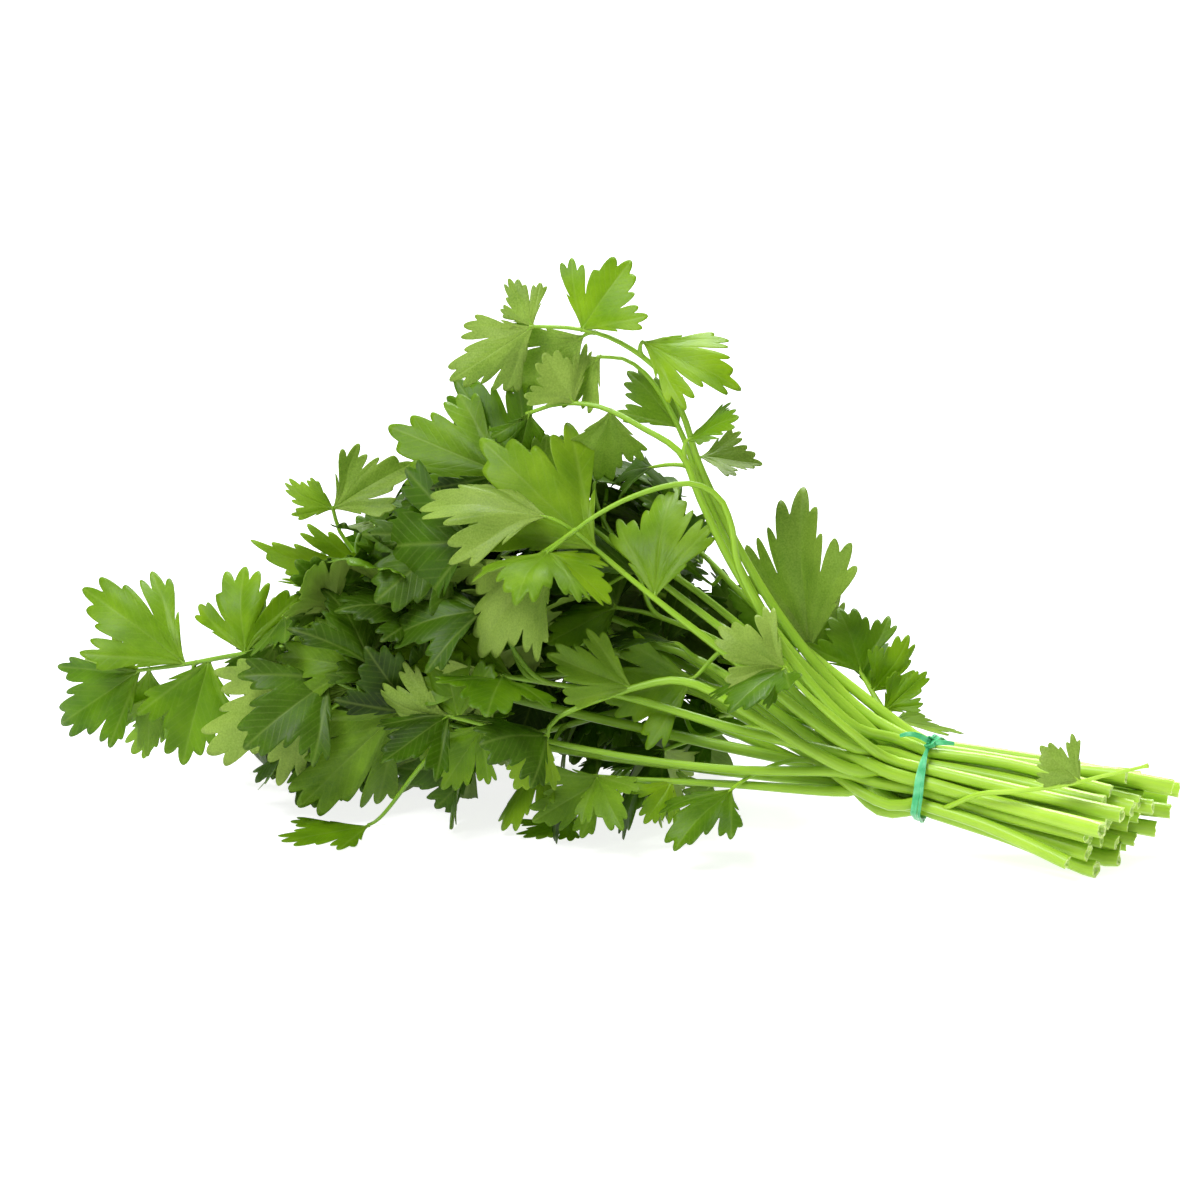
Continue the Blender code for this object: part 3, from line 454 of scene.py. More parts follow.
class Sheet:
    """A leaflet's middle surface: points, triangles and the direction that it faces."""

    def __init__(self, base, tip, width, roll, cup=0.0, droop=0.0, outline=TOOTHED, facing=None,
                 neck=NECK):
        self.base, self.tip = np.asarray(base, float), np.asarray(tip, float)
        self.length = np.linalg.norm(self.tip - self.base)
        self.width = width
        forward = (self.tip - self.base) / self.length
        facing = TO_VIEWER if facing is None else facing
        normal = unit(facing - (facing @ forward) * forward)
        sideways = np.cross(normal, forward)
        self.normal = math.cos(roll) * normal + math.sin(roll) * sideways
        self.sideways = np.cross(self.normal, forward)
        self.forward, self.cup, self.droop = forward, cup, droop
        self.shown = outline is TOOTHED
        right = [(-neck, NECK_HALF_WIDTH), (NECK_OUT, NECK_HALF_WIDTH)]
        for degrees, share in outline:
            angle = math.radians(degrees)
            right.append((share * self.length * math.cos(angle), share * width * math.sin(angle)))
        left = [(x, -y) for x, y in reversed(right)]
        flat = right + [(self.length, 0.0)] + left
        self.points = np.array([self.point(x, y) for x, y in flat])
        clear = [(max(x, NECK_CLEAR), y) for x, y in flat]
        self.outer_points = np.array([self.point(x, y) for x, y in clear])
        self.triangles = self.fan(len(flat), len(right))

    def point(self, x, y):
        """The place on the blade that lies x along it and y to its side."""
        out = math.hypot(max(x, 0), y) / self.length
        height = self.cup * abs(y) - self.droop * self.length * out**2
        return self.base + x * self.forward + y * self.sideways + height * self.normal

    @staticmethod
    def fan(count, tip):
        """Triangles alike on both halves, from the neck out to each stretch of the edge."""
        last = count - 1
        right = [(1, k, k + 1) for k in range(2, tip)]
        left = [(last - 1, k, k + 1) for k in range(tip, last - 2)]
        return [(0, 1, last - 1), (0, last - 1, last)] + right + [(1, tip, last - 1)] + left

    def slab(self, points, half):
        """A closed shape this much thicker than the sheet on each side, to test for room."""
        count = len(points)
        points = np.vstack([points + half * self.normal, points - half * self.normal])
        faces = list(self.triangles)
        faces += [(c + count, b + count, a + count) for a, b, c in self.triangles]
        for k in range(count):
            after = (k + 1) % count
            faces += [(k, k + count, after + count), (k, after + count, after)]
        return BVHTree.FromPolygons(points.tolist(), faces)


class Crowd:
    """Everything that is placed, so that what comes next keeps clear of it."""

    def __init__(self):
        self.rods, self.sheets = [], []
        self.blade, self.room, self.gap = BLADE, ROOM, GAP

    def add_rod(self, owner, points, radii):
        self.rods.append((owner, np.asarray(points), np.asarray(radii)))

    def add_sheet(self, owner, sheet):
        tree = BVHTree.FromPolygons(sheet.points.tolist(), sheet.triangles)
        slab = sheet.slab(sheet.points, self.blade / 2 + self.room)
        self.sheets.append((owner, sheet, tree, slab))

    def rod_fits(self, owner, points, radius):
        lowest = points[:, 2].min() - radius
        if lowest < 0.05:
            return False
        for other, rod, radii in self.rods:
            if other == owner:
                continue
            apart = np.linalg.norm(points[:, None] - rod[None], axis=2)
            if (apart < radius + radii[None] + self.room).any():
                return False
        reach = radius + self.blade / 2 + self.room
        for other, sheet, tree, _ in self.sheets:
            if np.linalg.norm(sheet.base - points[0]) > FAR_APART:
                continue
            # The last point is the leaflet's own root, which may meet its neighbours there
            tested = points[:-1] if other == owner else points
            if any(tree.find_nearest(point, reach)[0] for point in tested.tolist()):
                return False
        return True

    def sheet_fits(self, owner, sheet):
        """Whether the leaflet is above the surface and clear of every other stem and leaflet."""
        if sheet.points[:, 2].min() < LOWEST:
            return False
        slab = sheet.slab(sheet.points, self.blade / 2 + self.room)
        outer_slab = sheet.slab(sheet.outer_points, self.blade)
        own = BVHTree.FromPolygons(sheet.points.tolist(), sheet.triangles)
        middle = sheet.points.mean(axis=0)
        size = sheet.length
        for other, neighbour, tree, other_slab in self.sheets:
            if np.linalg.norm(neighbour.points.mean(axis=0) - middle) > size + neighbour.length:
                continue
            if other == owner and np.linalg.norm(neighbour.base - sheet.base) < NECK_CLEAR:
                outer = BVHTree.FromPolygons(neighbour.outer_points.tolist(), neighbour.triangles)
                if outer_slab.overlap(outer):
                    return False
            elif slab.overlap(tree) or other_slab.overlap(own):
                return False
        for other, rod, radii in self.rods:
            close = np.linalg.norm(rod - middle, axis=1) < size + ROOT_FREE
            if other == owner:
                close &= np.linalg.norm(rod - sheet.base, axis=1) > ROOT_FREE
            for point, radius in zip(rod[close].tolist(), radii[close]):
                reach = math.hypot(radius + self.blade / 2 + self.gap, POINT_SPACING / 2)
                if own.find_nearest(point, reach)[0]:
                    return False
        return True


def seated(base, route):
    """The base, moved into the stem where it is close to it, and how long its neck is there."""
    away = np.linalg.norm(route - base, axis=1)
    nearest = int(away.argmin())
    if away[nearest] > SEAT:
        return base, NECK
    if nearest == len(route) - 1:
        return route[-1] - unit(route[-1] - route[-2]), SEATED_NECK
    return route[nearest], SEATED_NECK


def branch_to(base, heading, route, at_tie):
    """A short curved branch from the stem to a leaflet's root, or None where it sits on it."""
    away = np.linalg.norm(route - base, axis=1)
    away[: at_tie + BARE_POINTS] = np.inf
    nearest = int(away.argmin())
    if away[nearest] < SEAT / 2:
        return None
    back = int(round(BRANCH_BACK * away[nearest] / POINT_SPACING))
    joint = max(nearest - back, at_tie + BARE_POINTS - 1)
    start = route[joint]
    along = unit(route[min(joint + 1, len(route) - 1)] - route[joint - 1])
    span = np.linalg.norm(base - start)
    bend = start + 0.4 * span * along
    reach = base - 0.2 * span * heading
    steps = np.linspace(0, 1, max(6, int(2 * span / BRANCH_SPACING)))[:, None]
    points = ((1 - steps) ** 3 * start + 3 * (1 - steps) ** 2 * steps * bend
              + 3 * (1 - steps) * steps**2 * reach + steps**3 * base)
    return points


class Stem:
    """One leafy stem: its route and thickness, its branches and its leaflets."""

    def __init__(self, name, route, at_tie):
        self.name, self.route, self.at_tie = name, route, at_tie
        self.radii = radii_along(route, at_tie)
        self.branches, self.sheets, self.cad_sheets = [], [], []
        self.stoutness = 1.0

    def grow(self, crowd, sheet):
        """Adds the leaflet and its branch if there is room for both."""
        points = branch_to(sheet.base, sheet.forward, self.route, self.at_tie)
        if not crowd.sheet_fits(self.name, sheet):
            return False
        if points is not None and not crowd.rod_fits(self.name, points, BRANCH_RADIUS):
            return False
        if points is not None:
            self.branches.append(points)
            crowd.add_rod(self.name, points, np.full(len(points), BRANCH_RADIUS))
        self.sheets.append(sheet)
        crowd.add_sheet(self.name, sheet)
        return True


def grow_resting(stems, crowd):
    """The flat leaflets that carry the head, on branches that come down to them."""
    level = BLADE / 2
    for base, tip, width, name in RESTING:
        sheet = Sheet((*base, level), (*tip, level), width, 0.0, facing=np.array([0, 0, 1.0]))
        stem = stems[name]
        end = np.array([*base, level + 0.45])
        points = branch_to(end, sheet.forward, stem.route, stem.at_tie)
        points[:, 2] = np.maximum(points[:, 2], BRANCH_RADIUS + 0.12)
        stem.branches.append(points)
        stem.sheets.append(sheet)
        crowd.add_rod(name, points, np.full(len(points), BRANCH_RADIUS))
        crowd.add_sheet(name, sheet)


def grow_shown(stems, crowd, rng, shown):
    """The leaflets that the front view shows, moved in depth or turned only as room needs."""
    for name, leaflets in shown.items():
        for leaflet in leaflets:
            for attempt in range(SHOWN_TRIES):
                slip = rng.uniform(-1, 1) * SLIP_PER_TRY * attempt
                base, neck = seated(seen_at(*leaflet.base), stems[name].route)
                base = base + rng.uniform(-0.15, 0.15, 3)
                across, up, behind = leaflet.tip
                tip = seen_at(across, up, behind + slip)
                roll = math.radians(leaflet.roll + rng.uniform(-1, 1) * ROLL_PER_TRY * attempt)
                cup, droop = rng.uniform(-0.2, 0.2), rng.uniform(0.0, 0.14)
                sheet = Sheet(base, tip, leaflet.width, roll, cup, droop, neck=neck)
                if stems[name].grow(crowd, sheet):
                    break


def grow_shoot(stems, crowd):
    """The thin side shoot over the cut stems, moved to the front until it clears them."""
    stem = stems[SHOOT_STEM]
    start = stem.route[stem.at_tie - SHOOT_FROM_TIE]
    for step in range(SHOOT_STEPS):
        nearer = step * SHOOT_STEP * TO_VIEWER
        path = [start] + [seen_at(*point) + nearer for point in SHOOT_PATH]
        points = smooth_through(path, BRANCH_SPACING)
        base, tip = (seen_at(*point) + nearer for point in SHOOT_LEAFLET[:2])
        base = points[np.linalg.norm(points - base, axis=1).argmin()]
        roll = math.radians(SHOOT_LEAFLET.roll)
        sheet = Sheet(base, tip, SHOOT_LEAFLET.width, roll, outline=PLAIN, neck=SEATED_NECK)
        if crowd.rod_fits(stem.name, points, BRANCH_RADIUS) and crowd.sheet_fits(stem.name, sheet):
            stem.branches.append(points)
            stem.sheets.append(sheet)
            break


def grow_hidden(stems, crowd, rng, wanted):
    """Leaflets in threes at the tips and on opposite branches of the stems behind."""
    for name in list(HIDDEN) + list(SHOWN):
        stem = stems[name]
        count = len(stem.route)
        heading = unit(stem.route[-1] - stem.route[-5])
        goal = wanted if name in HIDDEN else int(len(SHOWN[name][1]) < 4)
        placed = 0
        for attempt in range(goal * TRIES):
            if placed >= goal:
                break
            share = 1.0 if placed < 3 else rng.choice(HIDDEN_JOINTS)
            joint = int(stem.at_tie + (count - 1 - stem.at_tie) * share)
            turn = rng.normal(size=3)
            outward = stem.route[joint] - (TIE_CENTRE + AXIS * (stem.route[joint][0] - TIE_ACROSS))
            way = unit(0.7 * heading + 0.9 * unit(turn) + 0.5 * unit(outward))
            base = stem.route[joint] + (0 if share == 1.0 else rng.uniform(*HIDDEN_REACH)) * way
            base, neck = seated(base, stem.route)
            base = base + rng.uniform(-0.15, 0.15, 3)
            length = rng.uniform(*HIDDEN_LENGTH) - 8 * attempt / (goal * TRIES)
            drop = np.array([0, 0, rng.uniform(-0.5, 0.2)])
            tip = base + length * unit(way + drop)
            top = np.interp(tip[0], *zip(*HEAD_TOP))
            if max(base[2], tip[2]) > top or tip[0] < HEAD_LEFT:
                continue
            facing = unit(outward * 0.02 + np.array([0, 0, 1.0]) + 0.6 * rng.normal(size=3))
            sheet = Sheet(base, tip, length * rng.uniform(0.75, 0.98), 0.0,
                          rng.uniform(-0.25, 0.2), rng.uniform(0.0, 0.18), PLAIN, facing, neck)
            placed += stem.grow(crowd, sheet)


# The further leaflets fill the head as the front view shows it, from the crown to the foot of
# its leaves, each given as across and up
CROWN = (
    (-208, 40), (-192, 54), (-180, 70), (-168, 80), (-156, 88), (-144, 103), (-126, 104),
    (-108, 100), (-90, 103), (-72, 88), (-60, 66), (-48, 54), (-34, 42),
)
FOOT = (
    (-208, 4), (-186, -10), (-170, -10), (-156, -2), (-126, 4), (-108, 4), (-90, 4), (-66, 8),
    (-48, 15), (-34, 26),
)
# Right of this, leaves hang behind the stems and leave them in view
OPEN_FROM = -122
OPEN_BEHIND = 4
BEHIND = (-34, 58)
FURTHER_TRIES = 12000
LAYERS = 6
CELL = 5.0
REACH_FROM_STEM = (4, 32)
FURTHER_LENGTH = ((22, 34), (13, 22))


def seen_from_front(points):
    """How far across, up and behind each point is, as seen_at takes them."""
    across = points[..., 0]
    up = ((points[..., 2] - TIE_HEIGHT) * math.cos(VIEW_TILT)
          + points[..., 1] * math.sin(VIEW_TILT))
    return across, up, points[..., 1] + across * math.tan(YAW)


def in_the_head(points):
    """Whether the front view has these points between the head's crown and its foot."""
    across, up, behind = seen_from_front(points)
    low = np.interp(across, *zip(*FOOT))
    high = np.interp(across, *zip(*CROWN))
    open_view = (across > OPEN_FROM) & (behind < OPEN_BEHIND)
    outside = (up < low) | (up > high) | (across < CROWN[0][0]) | (across > CROWN[-1][0])
    return not (outside | open_view).any()


class Cover:
    """How many leaflets the front view has over each small cell of the head."""

    def __init__(self):
        self.count = {}

    def cells(self, sheet):
        corners = sheet.points[np.array(sheet.triangles)]
        spots = np.concatenate([corners.mean(axis=1), (corners[:, 0] + corners[:, 1]) / 2])
        across, up, _ = seen_from_front(spots)
        return {(int(a // CELL), int(u // CELL)) for a, u in zip(across, up)}

    def add(self, sheet):
        for cell in self.cells(sheet):
            self.count[cell] = self.count.get(cell, 0) + 1

    def full(self, across, up):
        return self.count.get((int(across // CELL), int(up // CELL)), 0) >= LAYERS


def grow_further(stems, crowd, rng):
    """The leaflets between the CAD model's, which fit in with finer blades: each is sought where
    the front view is still thin, on the nearest stem that can reach there."""
    cover = Cover()
    joints, owners = [], []
    for name, stem in stems.items():
        for sheet in stem.sheets:
            cover.add(sheet)
        free = stem.route[stem.at_tie + BARE_POINTS + 2 :]
        joints.append(free)
        owners += [name] * len(free)
    joints = np.vstack(joints)
    for attempt in range(FURTHER_TRIES):
        across = rng.uniform(CROWN[0][0], CROWN[-1][0])
        low, high = (np.interp(across, *zip(*edge)) for edge in (FOOT, CROWN))
        up = rng.uniform(low, high)
        behind = rng.uniform(OPEN_BEHIND if across > OPEN_FROM else BEHIND[0], BEHIND[1])
        turn, fall = rng.normal(size=3), rng.uniform(-0.6, 0.2)
        done = attempt / FURTHER_TRIES
        length = rng.uniform(*(np.interp(done, (0, 1), ends) for ends in zip(*FURTHER_LENGTH)))
        wide = rng.uniform(0.8, 1.05)
        lean, cup, droop = rng.normal(size=3), rng.uniform(-0.25, 0.2), rng.uniform(0.0, 0.18)
        if cover.full(across, up):
            continue
        middle = seen_at(across, up, behind)
        away = np.linalg.norm(joints - middle, axis=1)
        nearest = int(away.argmin())
        if not REACH_FROM_STEM[0] < away[nearest] < REACH_FROM_STEM[1] + length / 2:
            continue
        stem = stems[owners[nearest]]
        way = unit(middle - joints[nearest])
        along = unit(way + 0.7 * unit(turn) + np.array([-0.3, 0, fall]))
        base, neck = seated(middle - 0.45 * length * along, stem.route)
        tip = base + length * along
        facing = unit(np.array([0, 0, 0.7]) + 0.45 * TO_VIEWER + 0.55 * lean)
        sheet = Sheet(base, tip, length * wide, 0.0, cup, droop, PLAIN, facing, neck)
        if in_the_head(sheet.points) and stem.grow(crowd, sheet):
            cover.add(sheet)


def grown_stems():
    """Every stem with its leaflets: first the CAD model's, then the scene's own."""
    rng = np.random.default_rng(SEED)
    routes, at_tie = stem_routes(rng)
    routes = settled(routes, at_tie)
    stems = {name: Stem(name, routes[name], at_tie[name]) for name in routes}
    crowd = Crowd()
    for stem in stems.values():
        crowd.add_rod(stem.name, stem.route, stem.radii)
    grow_resting(stems, crowd)
    grow_shown(stems, crowd, rng, {name: shown[1] for name, shown in SHOWN.items()})
    grow_hidden(stems, crowd, rng, HIDDEN_LEAFLETS)
    grow_shoot(stems, crowd)
    for stem in stems.values():
        stem.cad_sheets += stem.sheets
    crowd.blade, crowd.room, crowd.gap = FINE_BLADE, FINE_ROOM, FINE_GAP
    rng = np.random.default_rng(FURTHER_SEED)
    grow_shown(stems, crowd, rng, BETWEEN)
    grow_further(stems, crowd, rng)
    return stems


def place_in_frame(stems):
    """How far the layout lies from the frame, from the boxes of the stems' nodes; both have the
    surface at the same height."""
    apart = []
    for name, stem in stems.items():
        low, high = (np.array(corner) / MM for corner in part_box("stem_" + name))
        points = np.vstack([stem.route] + [sheet.points for sheet in stem.cad_sheets])
        middle = (points.min(axis=0) + points.max(axis=0)) / 2
        apart.append((low + high) / 2 - middle)
    return np.median(apart, axis=0) * np.array([1, 1, 0])


# Materials

MATH = "ShaderNodeMath"
VECTOR_MATH = "ShaderNodeVectorMath"
NOISE = "ShaderNodeTexNoise"
RAMP = "ShaderNodeValToRGB"


def linear(hex_colour):
    """An sRGB hex colour as the linear RGBA that shaders take."""
    parts = [int(hex_colour[k : k + 2], 16) / 255 for k in (1, 3, 5)]
    parts = [p / 12.92 if p <= 0.04045 else ((p + 0.055) / 1.055) ** 2.4 for p in parts]
    return (*parts, 1.0)


def add(tree, kind, inputs=(), stops=(), **settings):
    """Adds a node with its settings, its inputs by name or in order, and a colour ramp's stops
    as places and hex colours. An input is a value, the socket that feeds it, or the node whose
    first output feeds it."""
    node = tree.nodes.new(kind)
    for name, value in settings.items():
        setattr(node, name, value)
    for name, value in inputs.items() if isinstance(inputs, dict) else enumerate(inputs):
        if isinstance(value, bpy.types.Node):
            value = value.outputs[0]
        if isinstance(value, bpy.types.NodeSocket):
            tree.links.new(value, node.inputs[name])
        else:
            node.inputs[name].default_value = value
    while stops and len(node.color_ramp.elements) < len(stops):
        node.color_ramp.elements.new(1.0)
    for k, (place, hex_colour) in enumerate(stops):
        node.color_ramp.elements[k].position = place
        node.color_ramp.elements[k].color = linear(hex_colour)
    return node


def new_material(name):
    made = bpy.data.materials.new(name)
    made.use_nodes = True
    made.node_tree.nodes.clear()
    return made


def leaf_material():
    """Fresh parsley blade: a thin waxy leaf, glossy above, paler and duller beneath, lit through
    from behind, with pale veins that run from the root to each tooth."""
    made = new_material("Fresh parsley blade")
    tree = made.node_tree
    plan = add(tree, "ShaderNodeAttribute", attribute_name="Plan").outputs["Vector"]
    along, across = add(tree, "ShaderNodeSeparateXYZ", [plan]).outputs[:2]
    leaf = add(tree, "ShaderNodeAttribute", attribute_name="Leaf").outputs["Vector"]
    tone, under, bloom_and_sheen = add(tree, "ShaderNodeSeparateXYZ", [leaf]).outputs[:3]
    place = add(tree, "ShaderNodeTexCoord").outputs["Object"]

    # The main veins run into the lobes; side veins leave them slanting outwards
    angle = add(tree, MATH, (across, along), operation="ARCTAN2")
    square = add(tree, MATH, (along, along), operation="MULTIPLY")
    square = add(tree, MATH, (across, across, square), operation="MULTIPLY_ADD")
    reach = add(tree, MATH, [square], operation="SQRT")
    off_vein = add(tree, MATH, (angle, math.radians(VEIN_TURN / 2)), operation="PINGPONG")
    off_sine = add(tree, MATH, [off_vein], operation="SINE")
    off_cosine = add(tree, MATH, [off_vein], operation="COSINE")
    beside = add(tree, MATH, (reach, off_sine), operation="MULTIPLY")
    down_vein = add(tree, MATH, (reach, off_cosine), operation="MULTIPLY")
    main_vein = add(tree, "ShaderNodeMapRange",
                    {"Value": beside, "From Min": 0.003, "From Max": 0.022, "To Min": 1.0,
                     "To Max": 0.0})
    aside = add(tree, MATH, (beside, -13.0), operation="MULTIPLY")
    slanting = add(tree, MATH, (down_vein, 11.0, aside), operation="MULTIPLY_ADD")
    side_line = add(tree, MATH, (slanting, 0.5), operation="PINGPONG")
    side_vein = add(tree, "ShaderNodeMapRange",
                    {"Value": side_line, "From Min": 0.02, "From Max": 0.13, "To Min": 0.55,
                     "To Max": 0.0})
    vein = add(tree, MATH, (main_vein, side_vein), operation="MAXIMUM")

    # Patches of stronger and weaker green about 12 mm wide, and a fine grain of 0.5 mm
    patches = add(tree, NOISE, {"Vector": place, "Scale": 85.0, "Detail": 3.0})
    grain = add(tree, NOISE, {"Vector": place, "Scale": 1900.0, "Detail": 2.0})
    strength = add(tree, MATH, (patches, 0.6, -0.12), operation="MULTIPLY_ADD")
    # The leaflet's tone: a green that differs at random, plus painted shade that makes leaflets
    # inside the head darker
    strength = add(tree, MATH, (tone, 0.75, strength), operation="MULTIPLY_ADD")
    centred = add(tree, MATH, (grain, 0.5), operation="SUBTRACT")
    # The grain shows more strongly on the leaflets that carry a pale waxy coat and painted sheen
    coarseness = add(tree, MATH, (bloom_and_sheen, 0.6, 0.15), operation="MULTIPLY_ADD")
    strength = add(tree, MATH, (centred, coarseness, strength), operation="MULTIPLY_ADD")
    above = add(tree, RAMP, [strength], ((0.1, "#223804"), (0.45, "#456a04"),
                                         (0.75, "#6d9608"), (1.0, "#8fb414")))
    beneath = add(tree, RAMP, [strength], ((0.1, "#506c20"), (0.6, "#809c3c"),
                                           (1.0, "#a2ba58")))
    through = add(tree, RAMP, [strength], ((0.1, "#4c7000"), (0.5, "#88b402"),
                                           (1.0, "#bcda14")))
    # Paler where the real underside shows, and where a pale waxy coat and painted sheen are
    # painted on
    paleness = add(tree, MATH, (under, bloom_and_sheen), operation="MAXIMUM")
    blade = add(tree, "ShaderNodeMix", {"Factor": paleness, "A": above, "B": beneath},
                data_type="RGBA").outputs["Result"]
    vein_strength = add(tree, MATH, (vein, 0.22), operation="MULTIPLY")
    blade = add(tree, "ShaderNodeMix",
                {"Factor": vein_strength, "A": blade, "B": linear("#a3bd58")},
                data_type="RGBA").outputs["Result"]

    roughness = add(tree, MATH, (grain, 0.35, 0.24), operation="MULTIPLY_ADD")
    relief = add(tree, MATH, (grain, 0.25), operation="MULTIPLY")
    relief = add(tree, MATH, (vein, -0.4, relief), operation="MULTIPLY_ADD")
    bump = add(tree, "ShaderNodeBump", {"Height": relief, "Distance": 0.00025, "Strength": 0.6})
    surface = add(tree, "ShaderNodeBsdfPrincipled",
                  {"Base Color": blade, "Roughness": roughness, "Specular IOR Level": 0.22,
                   "Normal": bump})
    glow = add(tree, "ShaderNodeBsdfTranslucent", {"Color": through})
    both = add(tree, "ShaderNodeMixShader", (0.38, surface, glow))
    add(tree, "ShaderNodeOutputMaterial", {"Surface": both})
    return made


def stalk_material():
    """Parsley stalk skin: smooth, moist and ribbed, pale yellow-green where it is cut and
    greener towards the head, with fine streaks along it."""
    made = new_material("Parsley stalk skin")
    tree = made.node_tree
    place = add(tree, "ShaderNodeTexCoord").outputs["Object"]
    x = add(tree, "ShaderNodeSeparateXYZ", [place]).outputs["X"]
    toward_head = add(tree, "ShaderNodeMapRange",
                      {"Value": x, "From Min": 0.16, "From Max": -0.06, "To Min": 0.0,
                       "To Max": 1.0})
    # Streaks about a third of the stalk's radius wide, and blotches about 17 mm long
    around = add(tree, "ShaderNodeAttribute", attribute_name="Around").outputs["Vector"]
    streaks = add(tree, NOISE, {"Vector": around, "Scale": 3.0, "Detail": 4.0})
    blotches = add(tree, NOISE, {"Vector": place, "Scale": 60.0, "Detail": 2.0})
    shade = add(tree, MATH, (blotches, 0.4, -0.42), operation="MULTIPLY_ADD")
    shade = add(tree, MATH, (streaks, 0.5, shade), operation="MULTIPLY_ADD")
    shade = add(tree, MATH, (toward_head, 0.6, shade), operation="MULTIPLY_ADD")
    skin = add(tree, RAMP, [shade], ((0.0, "#aad040"), (0.3, "#8fb92c"), (0.65, "#719a22"),
                                     (1.0, "#547a18")))
    bump = add(tree, "ShaderNodeBump", {"Height": streaks, "Distance": 0.0003, "Strength": 0.5})
    surface = add(tree, "ShaderNodeBsdfPrincipled",
                  {"Base Color": skin, "Roughness": 0.34, "IOR": 1.42,
                   "Subsurface Weight": 0.3, "Subsurface Radius": (0.9, 1.0, 0.3),
                   "Subsurface Scale": 0.0015, "Normal": bump})
    add(tree, "ShaderNodeOutputMaterial", {"Surface": surface})
    return made


def cut_material():
    """The cut face of a stalk: wet, pale and fibrous, with a soft pith and fibres of 0.7 mm."""
    made = new_material("Cut parsley stalk")
    tree = made.node_tree
    place = add(tree, "ShaderNodeTexCoord").outputs["Object"]
    fibres = add(tree, NOISE, {"Vector": place, "Scale": 1400.0, "Detail": 3.0})
    flesh = add(tree, RAMP, [fibres], ((0.3, "#a4cc4c"), (0.5, "#bfdc72"), (0.75, "#dcecaa")))
    bump = add(tree, "ShaderNodeBump", {"Height": fibres, "Distance": 0.0003, "Strength": 0.8})
    surface = add(tree, "ShaderNodeBsdfPrincipled",
                  {"Base Color": flesh, "Roughness": 0.5, "Subsurface Weight": 0.4,
                   "Subsurface Radius": (0.9, 1.0, 0.3), "Subsurface Scale": 0.0015,
                   "Normal": bump})
    add(tree, "ShaderNodeOutputMaterial", {"Surface": surface})
    return made


def tie_material():
    """Green polypropylene tie: a drawn, ridged and slightly see-through band, paler in patches
    of 4 mm where it was stretched."""
    made = new_material("Green polypropylene band")
    tree = made.node_tree
    around = add(tree, "ShaderNodeAttribute", attribute_name="Around").outputs["Vector"]
    strand = add(tree, "ShaderNodeSeparateXYZ", [around]).outputs["Y"]
    place = add(tree, "ShaderNodeTexCoord").outputs["Object"]
    drawn = add(tree, NOISE, {"Vector": place, "Scale": 260.0, "Detail": 3.0})
    ridges = add(tree, MATH, (strand, 40.0), operation="MULTIPLY")
    ridges = add(tree, MATH, [ridges], operation="SINE")
    shade = add(tree, MATH, (ridges, 0.16, drawn), operation="MULTIPLY_ADD")
    colour = add(tree, RAMP, [shade], ((0.25, "#2f9f5f"), (0.5, "#4cc482"), (0.8, "#90e2ae")))
    bump = add(tree, "ShaderNodeBump", {"Height": ridges, "Distance": 0.0002, "Strength": 0.5})
    surface = add(tree, "ShaderNodeBsdfPrincipled",
                  {"Base Color": colour, "Roughness": 0.28, "IOR": 1.49,
                   "Subsurface Weight": 0.35, "Subsurface Radius": (0.4, 1.0, 0.6),
                   "Subsurface Scale": 0.001, "Normal": bump})
    add(tree, "ShaderNodeOutputMaterial", {"Surface": surface})
    return made


def mesh_object(name, points, faces, marks, finish, collection):
    """A smooth mesh from points in millimetres, with its marks as named vectors on them."""
    mesh = bpy.data.meshes.new(name)
    mesh.from_pydata((np.asarray(points) * MM).tolist(), [], faces)
    for mark, vectors in marks.items():
        attribute = mesh.attributes.new(mark, "FLOAT_VECTOR", "POINT")
        attribute.data.foreach_set("vector", vectors.astype(np.float32).ravel())
    mesh.materials.append(finish)
    mesh.shade_smooth()
    made = bpy.data.objects.new(name, mesh)
    collection.objects.link(made)
    return made


# Stalks

STALK_RADIUS = 1.95
STALK_CUT_RADIUS = 2.45
STALK_TAPER = ((0, 1.95), (0.25, 1.7), (0.6, 1.15), (1, 0.6))
STALK_SPREAD = 0.12
TWIG_RADIUS = 0.68
TWIG_TAPER = (1.3, 0.75)
# Where a leaflet's own stalk sinks into its blade, from the root, and its share of a twig there
MIDRIB = ((-0.6, 0.75), (0.6, 0.65), (1.6, 0.5), (2.8, 0.2))
RIBS = 7
RIB_DEPTH = 0.07
HOLLOW_DEPTH = 1.2
# Only stalk ends this far to the right of the tie are cut ones
CUT_BEYOND = 35


